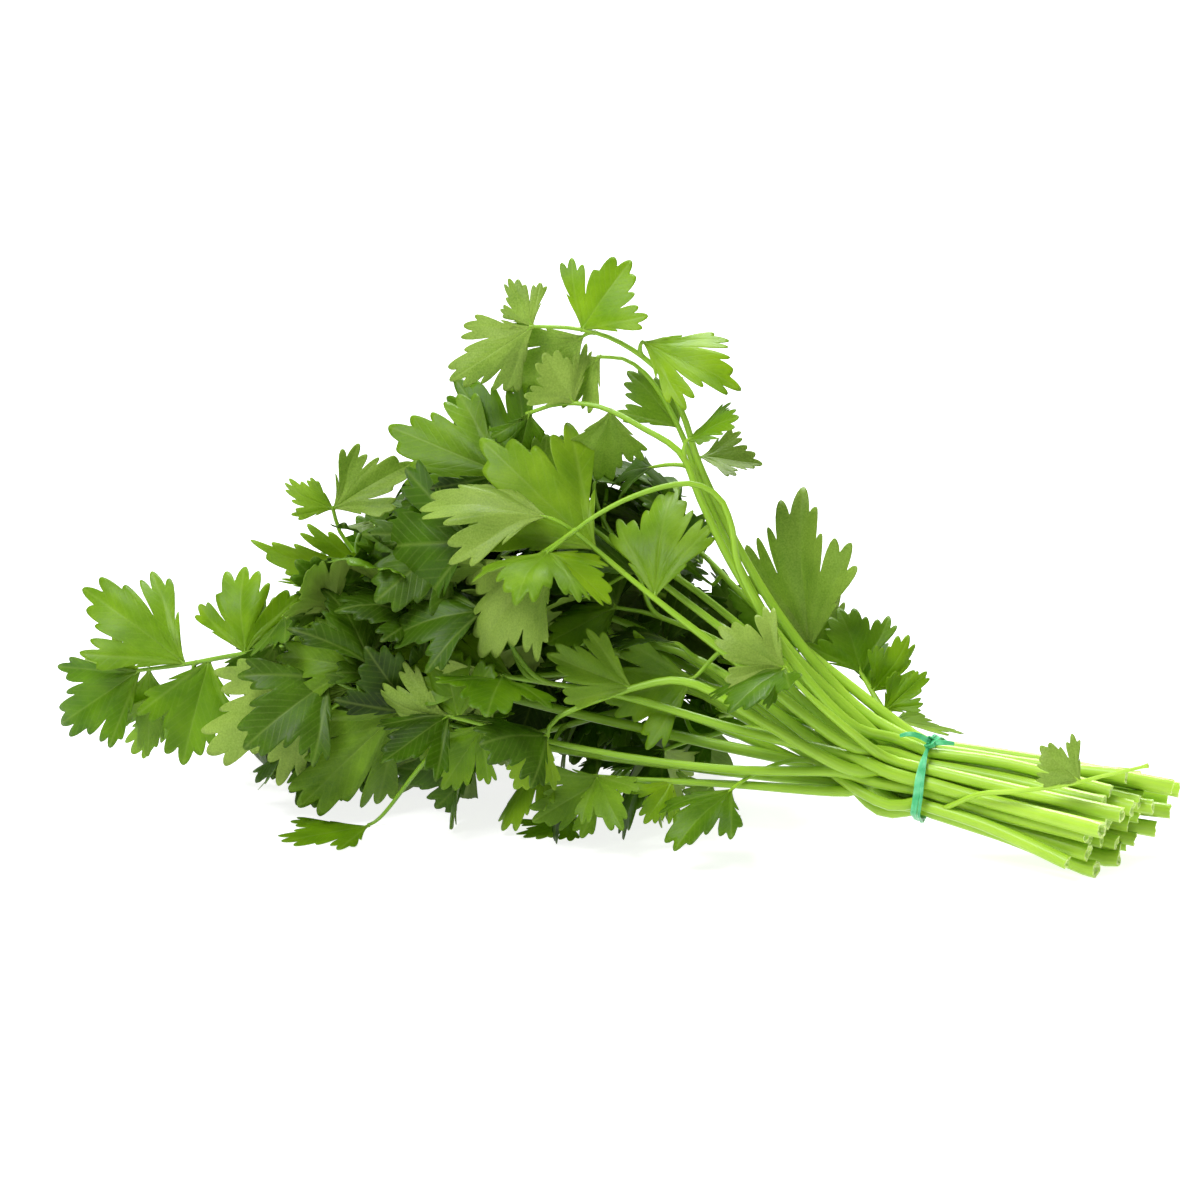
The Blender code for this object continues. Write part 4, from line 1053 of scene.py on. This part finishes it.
def stalk_tree():
    """A Geometry Nodes tree that turns curves into ribbed stalks with hollow cut ends."""
    tree = bpy.data.node_groups.new("Ribbed stalks along curves", "GeometryNodeTree")
    sockets = tree.interface
    sockets.new_socket("Geometry", in_out="INPUT", socket_type="NodeSocketGeometry")
    for name, kind in (("Ribs", "NodeSocketInt"), ("Rib depth", "NodeSocketFloat"),
                       ("Hollow depth", "NodeSocketFloat"), ("Cut beyond", "NodeSocketFloat"),
                       ("Skin", "NodeSocketMaterial"), ("Cut face", "NodeSocketMaterial")):
        sockets.new_socket(name, in_out="INPUT", socket_type=kind)
    sockets.new_socket("Geometry", in_out="OUTPUT", socket_type="NodeSocketGeometry")
    given = add(tree, "NodeGroupInput").outputs

    # The profile: a circle of 1 mm whose every other point lies in a groove
    corners = add(tree, MATH, (given["Ribs"], 2.0), operation="MULTIPLY")
    circle = add(tree, "GeometryNodeCurvePrimitiveCircle", {"Resolution": corners, "Radius": MM})
    index = add(tree, "GeometryNodeInputIndex")
    groove = add(tree, MATH, (index, 2.0), operation="MODULO")
    groove = add(tree, MATH, (groove, given["Rib depth"]), operation="MULTIPLY")
    left = add(tree, MATH, (1.0, groove), operation="SUBTRACT")
    position = add(tree, "GeometryNodeInputPosition")
    shrunk = add(tree, VECTOR_MATH, {"Vector": position, "Scale": left}, operation="SCALE")
    profile = add(tree, "GeometryNodeSetPosition", {"Geometry": circle, "Position": shrunk})
    turned = add(tree, VECTOR_MATH, {"Vector": position, "Scale": 1.0 / MM}, operation="SCALE")
    marked = add(tree, "GeometryNodeStoreNamedAttribute",
                 {"Geometry": profile, "Name": "Around", "Value": turned},
                 data_type="FLOAT_VECTOR", domain="POINT")
    radius = add(tree, "GeometryNodeInputRadius")
    tubes = add(tree, "GeometryNodeCurveToMesh",
                {"Curve": given["Geometry"], "Profile Curve": marked, "Scale": radius,
                 "Fill Caps": True})

    # Cut ends: the caps beyond the tie get a rim and a sunk pith
    neighbours = add(tree, "GeometryNodeInputMeshFaceNeighbors").outputs["Vertex Count"]
    many = add(tree, "FunctionNodeCompare", {"A": neighbours, "B": 4},
               data_type="INT", operation="GREATER_THAN")
    x = add(tree, "ShaderNodeSeparateXYZ", [position]).outputs["X"]
    beyond = add(tree, "FunctionNodeCompare", {"A": x, "B": given["Cut beyond"]},
                 data_type="FLOAT", operation="GREATER_THAN")
    caps = add(tree, "FunctionNodeBooleanMath", (many, beyond), operation="AND")
    rim = add(tree, "GeometryNodeExtrudeMesh",
              {"Mesh": tubes, "Selection": caps, "Offset Scale": 0.0})
    inner = add(tree, "GeometryNodeScaleElements",
                {"Geometry": rim, "Selection": rim.outputs["Top"], "Scale": 0.66})
    sunk_by = add(tree, MATH, (given["Hollow depth"], -1.0), operation="MULTIPLY")
    pith = add(tree, "GeometryNodeExtrudeMesh",
               {"Mesh": inner, "Selection": rim.outputs["Top"], "Offset Scale": sunk_by})
    floor = add(tree, "GeometryNodeScaleElements",
                {"Geometry": pith, "Selection": pith.outputs["Top"], "Scale": 0.5})
    walls = add(tree, "FunctionNodeBooleanMath", (rim.outputs["Side"], pith.outputs["Side"]),
                operation="OR")
    cut = add(tree, "FunctionNodeBooleanMath", (walls, pith.outputs["Top"]), operation="OR")
    kept = add(tree, "GeometryNodeStoreNamedAttribute",
               {"Geometry": floor, "Name": "Cut", "Value": cut},
               data_type="BOOLEAN", domain="FACE")
    is_cut = add(tree, "GeometryNodeInputNamedAttribute", {"Name": "Cut"},
                 data_type="BOOLEAN").outputs["Attribute"]

    # The knife leaves the rims uneven, in steps of 2.4 mm that are up to 1.2 mm high
    uneven = add(tree, NOISE, {"Vector": position, "Scale": 420.0}).outputs["Color"]
    centred = add(tree, VECTOR_MATH, (uneven, (0.5, 0.5, 0.5)), operation="SUBTRACT")
    torn = add(tree, VECTOR_MATH, {"Vector": centred, "Scale": 2.4 * MM}, operation="SCALE")
    ragged = add(tree, "GeometryNodeSetPosition",
                 {"Geometry": kept, "Selection": is_cut, "Offset": torn})
    whole = add(tree, "FunctionNodeBooleanMath", [is_cut], operation="NOT")
    smooth = add(tree, "GeometryNodeSetShadeSmooth", {"Geometry": ragged, "Shade Smooth": whole})
    real = add(tree, "GeometryNodeRealizeInstances", [smooth])
    skinned = add(tree, "GeometryNodeSetMaterial", {"Geometry": real, "Material": given["Skin"]})
    finished = add(tree, "GeometryNodeSetMaterial",
                   {"Geometry": skinned, "Selection": is_cut, "Material": given["Cut face"]})
    add(tree, "NodeGroupOutput", [finished])
    return tree


def stalk_radii(stem):
    """Thickest at the cut, even through the tie, then a taper to the tip."""
    along = np.arange(len(stem.route)) - stem.at_tie
    share = np.clip(along / (len(stem.route) - 1 - stem.at_tie), 0, 1)
    head = np.interp(share, *zip(*STALK_TAPER))
    cut = np.clip(-along / stem.at_tie, 0, 1)
    return (head + (STALK_CUT_RADIUS - STALK_RADIUS) * cut**1.5) * stem.stoutness


def stalk_object(stem, shift, tree, finishes, collection):
    """A stem's stalk, its branches and its leaflets' midribs, as one mesh."""
    paths = [(stem.route, stalk_radii(stem))]
    for points in stem.branches:
        paths.append((points, np.linspace(*TWIG_TAPER, len(points)) * TWIG_RADIUS))
    for sheet in stem.sheets:
        points = np.array([sheet.point(x, 0.0) for x, _ in MIDRIB])
        paths.append((points, np.array([share for _, share in MIDRIB]) * TWIG_RADIUS))
    curve = bpy.data.curves.new("Paths of " + stem.name, "CURVE")
    curve.dimensions = "3D"
    for points, radii in paths:
        points[:, 2] = np.maximum(points[:, 2], radii)
        spline = curve.splines.new("POLY")
        spline.points.add(len(points) - 1)
        for target, point, radius in zip(spline.points, points + shift, radii):
            target.co = (*(point * MM), 1)
            target.radius = radius
    guide = bpy.data.objects.new("Guide of " + stem.name, curve)
    bpy.context.scene.collection.objects.link(guide)
    grow = guide.modifiers.new("Ribbed stalks", "NODES")
    grow.node_group = tree
    values = {"Ribs": RIBS, "Rib depth": RIB_DEPTH, "Hollow depth": HOLLOW_DEPTH * MM,
              "Cut beyond": (TIE_ACROSS + CUT_BEYOND + shift[0]) * MM,
              "Skin": finishes["stalk"], "Cut face": finishes["cut"]}
    for item in tree.interface.items_tree:
        if item.in_out == "INPUT" and item.name in values:
            grow[item.identifier] = values[item.name]
    bpy.context.view_layer.update()
    graph = bpy.context.evaluated_depsgraph_get()
    mesh = bpy.data.meshes.new_from_object(guide.evaluated_get(graph))
    made = bpy.data.objects.new("stalk_" + stem.name, mesh)
    collection.objects.link(made)
    bpy.data.objects.remove(guide, do_unlink=True)
    return made


# Leaf blades

# Leaflets painted pale and dull, by stem and order, partly as a waxy coat and partly as painted
# sheen, and how pale the others are
PALE_SHEEN = {
    "bent_over": (1,), "crest_middle": (1,), "pale_side": (0,), "left_low": (1,),
    "upright": (0, 1), "arch_tall": (2, 3, 4), "arch_inner": (0, 2), "arch_low": (1, 3),
    "near_fan": (0,), "left_top": (0,), "curled_side": (0,), "low_near": (5,),
}
BLOOM_AND_SHEEN = (0.0, 0.0, 0.05, 0.12, 0.25, 0.45)
# Leaflets further behind than this are painted darker still, as painted shade for the inside of
# the head
PAINTED_SHADE_BEHIND = 0.0
# Degrees from one main vein to the next
VEIN_TURN = 42.0
# The fine blades reach this much further than the CAD model's plain ones
FULLER_LENGTH = 1.06
FULLER_WIDTH = 1.15
ROOT_HALF_WIDTH = 0.35
HALF_THICK = 0.17
RESTING_BELOW = 2.0
# Where a blade has its rings of points, as shares of the way from its root to its edge, and
# where half a tooth has its points, as shares of the way from its cleft to its top
RINGS = (0.0, 0.12, 0.28, 0.44, 0.58, 0.70, 0.80, 0.88, 0.95, 1.0)
FEW_RINGS = (0.0, 0.2, 0.42, 0.62, 0.8, 0.92, 1.0)
TOOTH_STEPS = (0.05, 0.16, 0.34, 0.56, 0.79, 1.0)
FEW_TOOTH_STEPS = (0.12, 0.42, 0.76, 1.0)
TOOTH_ROUNDNESS = 0.66
# How uneven a blade is, as shares of its length: in all, and in each way
WAVE = (1.1, 1.9)
RESTING_WAVE = 0.15
BULGE = 0.013
CURL = (-0.1, 0.55)
FOLD = (-0.5, 0.5)
FOLD_FROM = math.radians(20)
RIPPLE = 0.03
TWIST = (-0.2, 0.2)
SAG = 0.03
MIDRIB_WIDTH = 0.05


def edge_half(rng, fine):
    """One half of a blade's edge, lowest tooth first, as radians and shares of the length."""
    steps = TOOTH_STEPS if fine else FEW_TOOTH_STEPS
    teeth, clefts = np.array(TEETH), np.array(CLEFTS)
    teeth[1:, 1] *= rng.uniform(0.93, 1.06, len(teeth) - 1)
    teeth[1:, 0] += rng.uniform(-0.8, 0.8, len(teeth) - 1)
    clefts[:, 0] += rng.uniform(-0.5, 0.5, len(clefts))
    beside = (teeth[:-1, 1] + teeth[1:, 1]) / 2
    clefts[:, 1] = beside - (beside - clefts[:, 1]) * rng.uniform(0.7, 1.4, len(clefts))
    clefts[DEEP_CLEFT, 1] = rng.uniform(*DEEP_CLEFT_SHARE)
    edge = [tuple(teeth[0])]
    for before, cleft, after in zip(teeth, clefts, teeth[1:]):
        for tooth, shares in ((before, steps[-2::-1]), (after, steps)):
            for share in shares:
                # A tooth is round at its top and meets its neighbour in a sharp cleft
                rounded = math.sin(0.5 * math.pi * share) ** TOOTH_ROUNDNESS
                angle = cleft[0] + (tooth[0] - cleft[0]) * share
                edge.append((angle, cleft[1] + (tooth[1] - cleft[1]) * rounded))
    edge = np.array((edge + list(WEDGE))[::-1])
    return np.radians(edge[:, 0]), edge[:, 1]


def blade_grid(sheet, rng, resting):
    """A blade's middle surface as rings by rays of points, with each point's plan."""
    low_angles, low_shares = edge_half(rng, sheet.shown)
    high_angles, high_shares = edge_half(rng, sheet.shown)
    angles = np.concatenate([-low_angles, high_angles[::-1][1:]])
    shares = np.concatenate([low_shares, high_shares[::-1][1:]])
    ring = np.array(RINGS if sheet.shown else FEW_RINGS)[:, None]
    along = ring * shares[None] * np.cos(angles)[None]
    across = ring * shares[None] * np.sin(angles)[None]
    root = np.linspace(-1, 1, len(angles)) * ROOT_HALF_WIDTH / sheet.width
    across = across + (1 - ring) * root[None]
    # The wedge at the root is narrower than a fan would be
    waist = np.clip(along / 0.5, 0, 1)
    across = across * (0.45 + 0.55 * waist * waist * (3 - 2 * waist))
    x, y = along * sheet.length * FULLER_LENGTH, across * sheet.width * FULLER_WIDTH
    out = np.hypot(np.maximum(x, 0), y) / sheet.length
    midrib = MIDRIB_WIDTH * sheet.length
    height = sheet.cup * (np.sqrt(y**2 + midrib**2) - midrib)
    height = height - sheet.droop * sheet.length * out**2
    wave = RESTING_WAVE if resting else rng.uniform(*WAVE)
    # The blade bulges between its veins, and each side lobe folds up or down on its own
    turn = np.broadcast_to(angles[None], x.shape)
    bulge = BULGE * np.minimum(1, 2.5 * out) * np.abs(np.sin(turn * 180 / VEIN_TURN))
    curl = rng.uniform(*CURL) * np.maximum(0, out - 0.45) ** 2
    beyond = np.maximum(0, np.abs(turn) - FOLD_FROM) * np.maximum(0, out - 0.2)
    fold = np.where(turn < 0, rng.uniform(*FOLD), rng.uniform(*FOLD)) * beyond
    ripple = RIPPLE * out**2 * np.sin(rng.uniform(5, 10) * turn + rng.uniform(0, 6.3))
    twist = rng.uniform(*TWIST) * across * out
    phase = rng.uniform(0, 6.3)
    sag = SAG * (np.sin(3.2 * along + phase) - math.sin(phase)) * np.minimum(1, 2 * out)
    height = height + wave * sheet.length * (bulge - curl + fold + ripple + twist + sag)
    points = (sheet.base + x[..., None] * sheet.forward + y[..., None] * sheet.sideways
              + height[..., None] * sheet.normal)
    plan = np.stack([along, across, np.broadcast_to(ring, along.shape)], axis=-1)
    return points, plan


def blade_arrays(sheet, rng, shift):
    """Vertices, quads and plan of one closed blade."""
    resting = sheet.points[:, 2].max() < RESTING_BELOW
    middle, plan = blade_grid(sheet, rng, resting)
    middle = middle + shift
    normals = np.cross(np.gradient(middle, axis=0), np.gradient(middle, axis=1))
    size = np.linalg.norm(normals, axis=-1, keepdims=True)
    normals = np.where(size > 1e-9, normals / np.maximum(size, 1e-9), sheet.normal)
    half = HALF_THICK * (1 - 0.6 * plan[..., 2:3] ** 4)
    middle[..., 2] = np.maximum(middle[..., 2], HALF_THICK + 0.05)
    rings, rays = middle.shape[:2]
    count = rings * rays
    points = np.concatenate([(middle + half * normals).reshape(-1, 3),
                             (middle - half * normals).reshape(-1, 3)])
    index = np.arange(count).reshape(rings, rays)
    a, b, c, d = index[:-1, :-1], index[1:, :-1], index[1:, 1:], index[:-1, 1:]
    upper = np.stack([a, b, c, d], axis=-1).reshape(-1, 4)
    lower = upper[:, ::-1] + count
    rim = np.concatenate([index[:-1, 0], index[-1, :-1], index[:0:-1, -1], index[0, :0:-1]])
    after = np.roll(rim, -1)
    border = np.stack([rim, rim + count, after + count, after], axis=-1)
    faces = np.concatenate([upper, lower, border])
    plan = plan.reshape(-1, 3)
    return points, faces, np.concatenate([plan, plan])


def blade_colour(stem, k, sheet, rng):
    """How strong a leaflet's green is, with painted shade on the leaflets inside the head, and how
    pale a waxy coat and painted sheen make it.
    """
    tone, bloom_and_sheen = rng.uniform(0.0, 1.0), rng.choice(BLOOM_AND_SHEEN)
    # The listed leaflets are painted pale: a waxy coat and painted sheen
    if k in PALE_SHEEN.get(stem.name, ()):
        return 0.65 + 0.3 * tone, 0.9
    if sheet.shown:
        return 0.5 + 0.5 * tone, bloom_and_sheen
    # Painted shade: leaflets other than the shown ones get a darker green, and those behind the
    # middle are darker still
    deep = seen_from_front(sheet.base)[2] > PAINTED_SHADE_BEHIND
    return (0.5 if deep else 0.8) * tone, 0.3 * bloom_and_sheen


def leaves_object(stem, shift, finish, collection, rng):
    """All the leaflets of a stem as one mesh of closed blades."""
    points, faces, plans, leaves = [], [], [], []
    first = 0
    for k, sheet in enumerate(stem.sheets):
        blade_points, blade_faces, plan = blade_arrays(sheet, rng, shift)
        count = len(blade_points)
        tone, bloom_and_sheen = blade_colour(stem, k, sheet, rng)
        under = np.repeat([0.0, 1.0], count // 2)
        leaves.append(np.column_stack([np.full(count, tone), under, np.full(count, bloom_and_sheen)]))
        points.append(blade_points)
        faces.append(blade_faces + first)
        plans.append(plan)
        first += count
    marks = {"Plan": np.vstack(plans), "Leaf": np.vstack(leaves)}
    return mesh_object("leaves_" + stem.name, np.vstack(points), np.vstack(faces).tolist(),
                       marks, finish, collection)


# The tie

BAND_WIDTH = 2.1
BAND_THICK = 0.45
BAND_TURNS = 72
BAND_RIDGES = 5
# The two strands: how far each lies from the outermost stems' middles, its share of the width,
# and how far it slants from one side of the knot to the other
STRANDS = ((STALK_RADIUS + 0.25, 1.0, 0.0), (STALK_RADIUS + 0.6, 0.5, 1.7))
KNOT_CLEAR = STALK_RADIUS + 1.3
KNOT_WIDTH = 1.6
# The two tails: which way each runs along the bunch, how far it turns aside, length and rise
TAILS = ((-1, 1, 9.0, 2.8), (1, -0.4, 7.0, 1.2))
TAIL_WIDTH = 1.9
TAIL_ASIDE = 2.2


def band_point(stems, angle, clear):
    """Where the tie passes on this side: that far from the outermost stem there."""
    way = np.array([math.cos(angle), math.sin(angle)])
    near_tie = [stem.route[stem.at_tie - 1 : stem.at_tie + 2] for stem in stems.values()]
    across = (np.vstack(near_tie) - TIE_CENTRE) @ np.column_stack([SIDEWAYS, UPWARDS])
    place = across[(across @ way).argmax()] + clear * way
    return TIE_CENTRE + place[0] * SIDEWAYS + place[1] * UPWARDS


def band_ring(stems, clear):
    """Evenly spaced points round the bundle, and which way is outward at each."""
    angles = np.linspace(0, 2 * math.pi, 4 * BAND_TURNS, endpoint=False)
    ring = np.array([band_point(stems, angle, clear) for angle in angles])
    closed = np.vstack([ring, ring[:1]])
    along = np.concatenate([[0], np.cumsum(np.linalg.norm(np.diff(closed, axis=0), axis=1))])
    wanted = np.linspace(0, along[-1], BAND_TURNS, endpoint=False)
    ring = np.column_stack([np.interp(wanted, along, closed[:, k]) for k in range(3)])
    out = ring - TIE_CENTRE
    return ring, out / np.linalg.norm(out, axis=1, keepdims=True)


def band_arrays(path, outward, widths, closed):
    """A flat ridged band along the path, its flat side facing outward."""
    if closed:
        along = np.roll(path, -1, axis=0) - np.roll(path, 1, axis=0)
    else:
        along = np.gradient(path, axis=0)
    along = along / np.linalg.norm(along, axis=1, keepdims=True)
    outward = outward - (outward * along).sum(axis=1, keepdims=True) * along
    outward = outward / np.linalg.norm(outward, axis=1, keepdims=True)
    across = np.cross(along, outward)
    places = np.linspace(-0.5, 0.5, 2 * BAND_RIDGES + 1)
    ridge = 0.5 * BAND_THICK * (0.75 + 0.25 * np.cos(places * BAND_RIDGES * 2 * math.pi))
    ridge = ridge * np.sqrt(np.maximum(0.15, 1 - (2 * places) ** 4))
    profile = [(place, high) for place, high in zip(places, ridge)]
    profile += [(place, -high) for place, high in zip(places[::-1], ridge[::-1])]
    rows = [path + place * widths[:, None] * across + high * outward for place, high in profile]
    points = np.stack(rows, axis=1)
    count, sides = points.shape[:2]
    index = np.arange(count * sides).reshape(count, sides)
    ahead = np.roll(index, -1, axis=0) if closed else index[1:]
    here = index if closed else index[:-1]
    quads = np.stack([here, np.roll(here, -1, axis=1), np.roll(ahead, -1, axis=1), ahead],
                     axis=-1).reshape(-1, 4)
    faces = quads.tolist()
    if not closed:
        faces += [index[0, ::-1].tolist(), index[-1].tolist()]
    marks = np.tile(np.array([(0.0, place, 0.0) for place, _ in profile]), (count, 1))
    return points.reshape(-1, 3), faces, marks


def tie_object(stems, shift, finish, collection):
    """The band round the stalks, with a crossing strand, a knot and two tails."""
    parts = []
    for clear, wide, slant in STRANDS:
        ring, ways = band_ring(stems, clear)
        turn = np.arctan2(ways @ UPWARDS, ways @ SIDEWAYS)
        from_knot = np.angle(np.exp(1j * (turn - KNOT_AROUND)))
        near_knot = np.exp(-((from_knot / 0.5) ** 2))
        sway = 0.5 * np.sin(turn * 2 + 0.7) + slant * np.sin(from_knot)
        widths = wide * BAND_WIDTH * (1 - 0.45 * near_knot) * (1 + 0.08 * np.sin(3 * turn))
        parts.append(band_arrays(ring + sway[:, None] * AXIS, ways, widths, True))
    way = math.cos(KNOT_AROUND) * SIDEWAYS + math.sin(KNOT_AROUND) * UPWARDS
    beside = np.cross(AXIS, way)
    knot = band_point(stems, KNOT_AROUND, KNOT_CLEAR)
    turns = np.linspace(0, 2 * math.pi, 40, endpoint=False)
    loop = np.array([
        knot + (1.5 * math.sin(t) + 0.5 * math.sin(3 * t)) * AXIS
        + 1.5 * math.cos(t) * beside + 0.9 * math.sin(2 * t) * way for t in turns])
    parts.append(band_arrays(loop, loop - knot, np.full(len(turns), KNOT_WIDTH), True))
    share = np.linspace(0, 1, 14)
    for direction, side, length, rise in TAILS:
        tail = (knot + (direction * length * share)[:, None] * AXIS
                + (rise * np.sin(share * 2.2))[:, None] * way
                + (side * TAIL_ASIDE * share**2)[:, None] * beside)
        facing = np.array([way + 0.8 * math.sin(3 * s) * beside for s in share])
        parts.append(band_arrays(tail, facing, TAIL_WIDTH * (1 - 0.35 * share), False))
    faces, first = [], 0
    for points, part_faces, _ in parts:
        faces += [[corner + first for corner in face] for face in part_faces]
        first += len(points)
    points, _, marks = zip(*parts)
    return mesh_object("tie_band", np.vstack(points) + shift, faces,
                       {"Around": np.vstack(marks)}, finish, collection)


# Surface, light and camera

FLOOR_HALF = 3000
WHITE = (1, 1, 1, 1)
WORLD_STRENGTH = 0.38
# Each lamp's place in metres and its power
LAMPS = {"key_lamp": ((-0.6, -0.6, 1.3), 24.0), "back_lamp": ((0.1, 0.8, 1.1), 22.0)}
LAMP_SIZE = 0.8
LAMP_AIM = (-0.02, 0.0, 0.05)
CAMERA_AWAY = 2.5
LENS = 250
IMAGE_MIDDLE = (-96.0, 52.5)


def stage():
    """A plain white surface, a bright even sky and two soft lamps."""
    scene = bpy.context.scene
    paint = new_material("White paper")
    surface = add(paint.node_tree, "ShaderNodeBsdfPrincipled",
                  {"Base Color": (0.5, 0.5, 0.5, 1), "Roughness": 0.9,
                   "Specular IOR Level": 0.1, "Emission Color": WHITE,
                   "Emission Strength": 0.82})
    add(paint.node_tree, "ShaderNodeOutputMaterial", {"Surface": surface})
    corners = [(x, y, 0) for x, y in ((-1, -1), (1, -1), (1, 1), (-1, 1))]
    mesh_object("pale_floor", FLOOR_HALF * np.array(corners), [(0, 1, 2, 3)], {}, paint,
                         scene.collection)

    scene.world = bpy.data.worlds.new("Studio")
    scene.world.use_nodes = True
    sky = scene.world.node_tree.nodes["Background"].inputs
    sky["Color"].default_value = WHITE
    sky["Strength"].default_value = WORLD_STRENGTH
    for name, (place, power) in LAMPS.items():
        lamp = bpy.data.lights.new(name, "AREA")
        lamp.shape = "DISK"
        lamp.size = LAMP_SIZE
        lamp.energy = power
        made = bpy.data.objects.new(name, lamp)
        made.location = place
        aim = Vector(LAMP_AIM) - Vector(place)
        made.rotation_euler = aim.to_track_quat("-Z", "Y").to_euler()
        scene.collection.objects.link(made)


def camera(shift):
    lens = bpy.data.cameras.new("camera")
    lens.sensor_width = 36
    lens.lens = LENS
    lens.clip_start = 0.1
    lens.clip_end = 20
    made = bpy.data.objects.new("camera", lens)
    middle = (seen_at(*IMAGE_MIDDLE, 0.0) + shift) * MM
    made.location = middle + TO_VIEWER * CAMERA_AWAY
    made.rotation_euler = (math.radians(90) - VIEW_TILT, 0, 0)
    bpy.context.scene.collection.objects.link(made)
    bpy.context.scene.camera = made


def build():
    """The whole bunch, piece by piece; gives back how far the layout lies from the frame."""
    stems = grown_stems()
    shift = place_in_frame(stems)
    bunch = bpy.data.collections.new("Parsley bunch")
    bpy.context.scene.collection.children.link(bunch)
    finishes = {"stalk": stalk_material(), "cut": cut_material(), "leaf": leaf_material(),
                "tie": tie_material()}
    tree = stalk_tree()
    rng = np.random.default_rng(FURTHER_SEED + 1)
    for name, stem in stems.items():
        stem.stoutness = 1 + STALK_SPREAD * rng.uniform(-1, 1)
        stalk = stalk_object(stem, shift, tree, finishes, bunch)
        leaves = leaves_object(stem, shift, finishes["leaf"], bunch, rng)
        for piece in (stalk, leaves):
            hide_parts("stem_" + name)
            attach(piece, "root")
    tie = tie_object(stems, shift, finishes["tie"], bunch)
    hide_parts("tie")
    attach(tie, "root")
    return shift


shift = build()
stage()
camera(shift)
bpy.context.scene.view_settings.view_transform = "Standard"
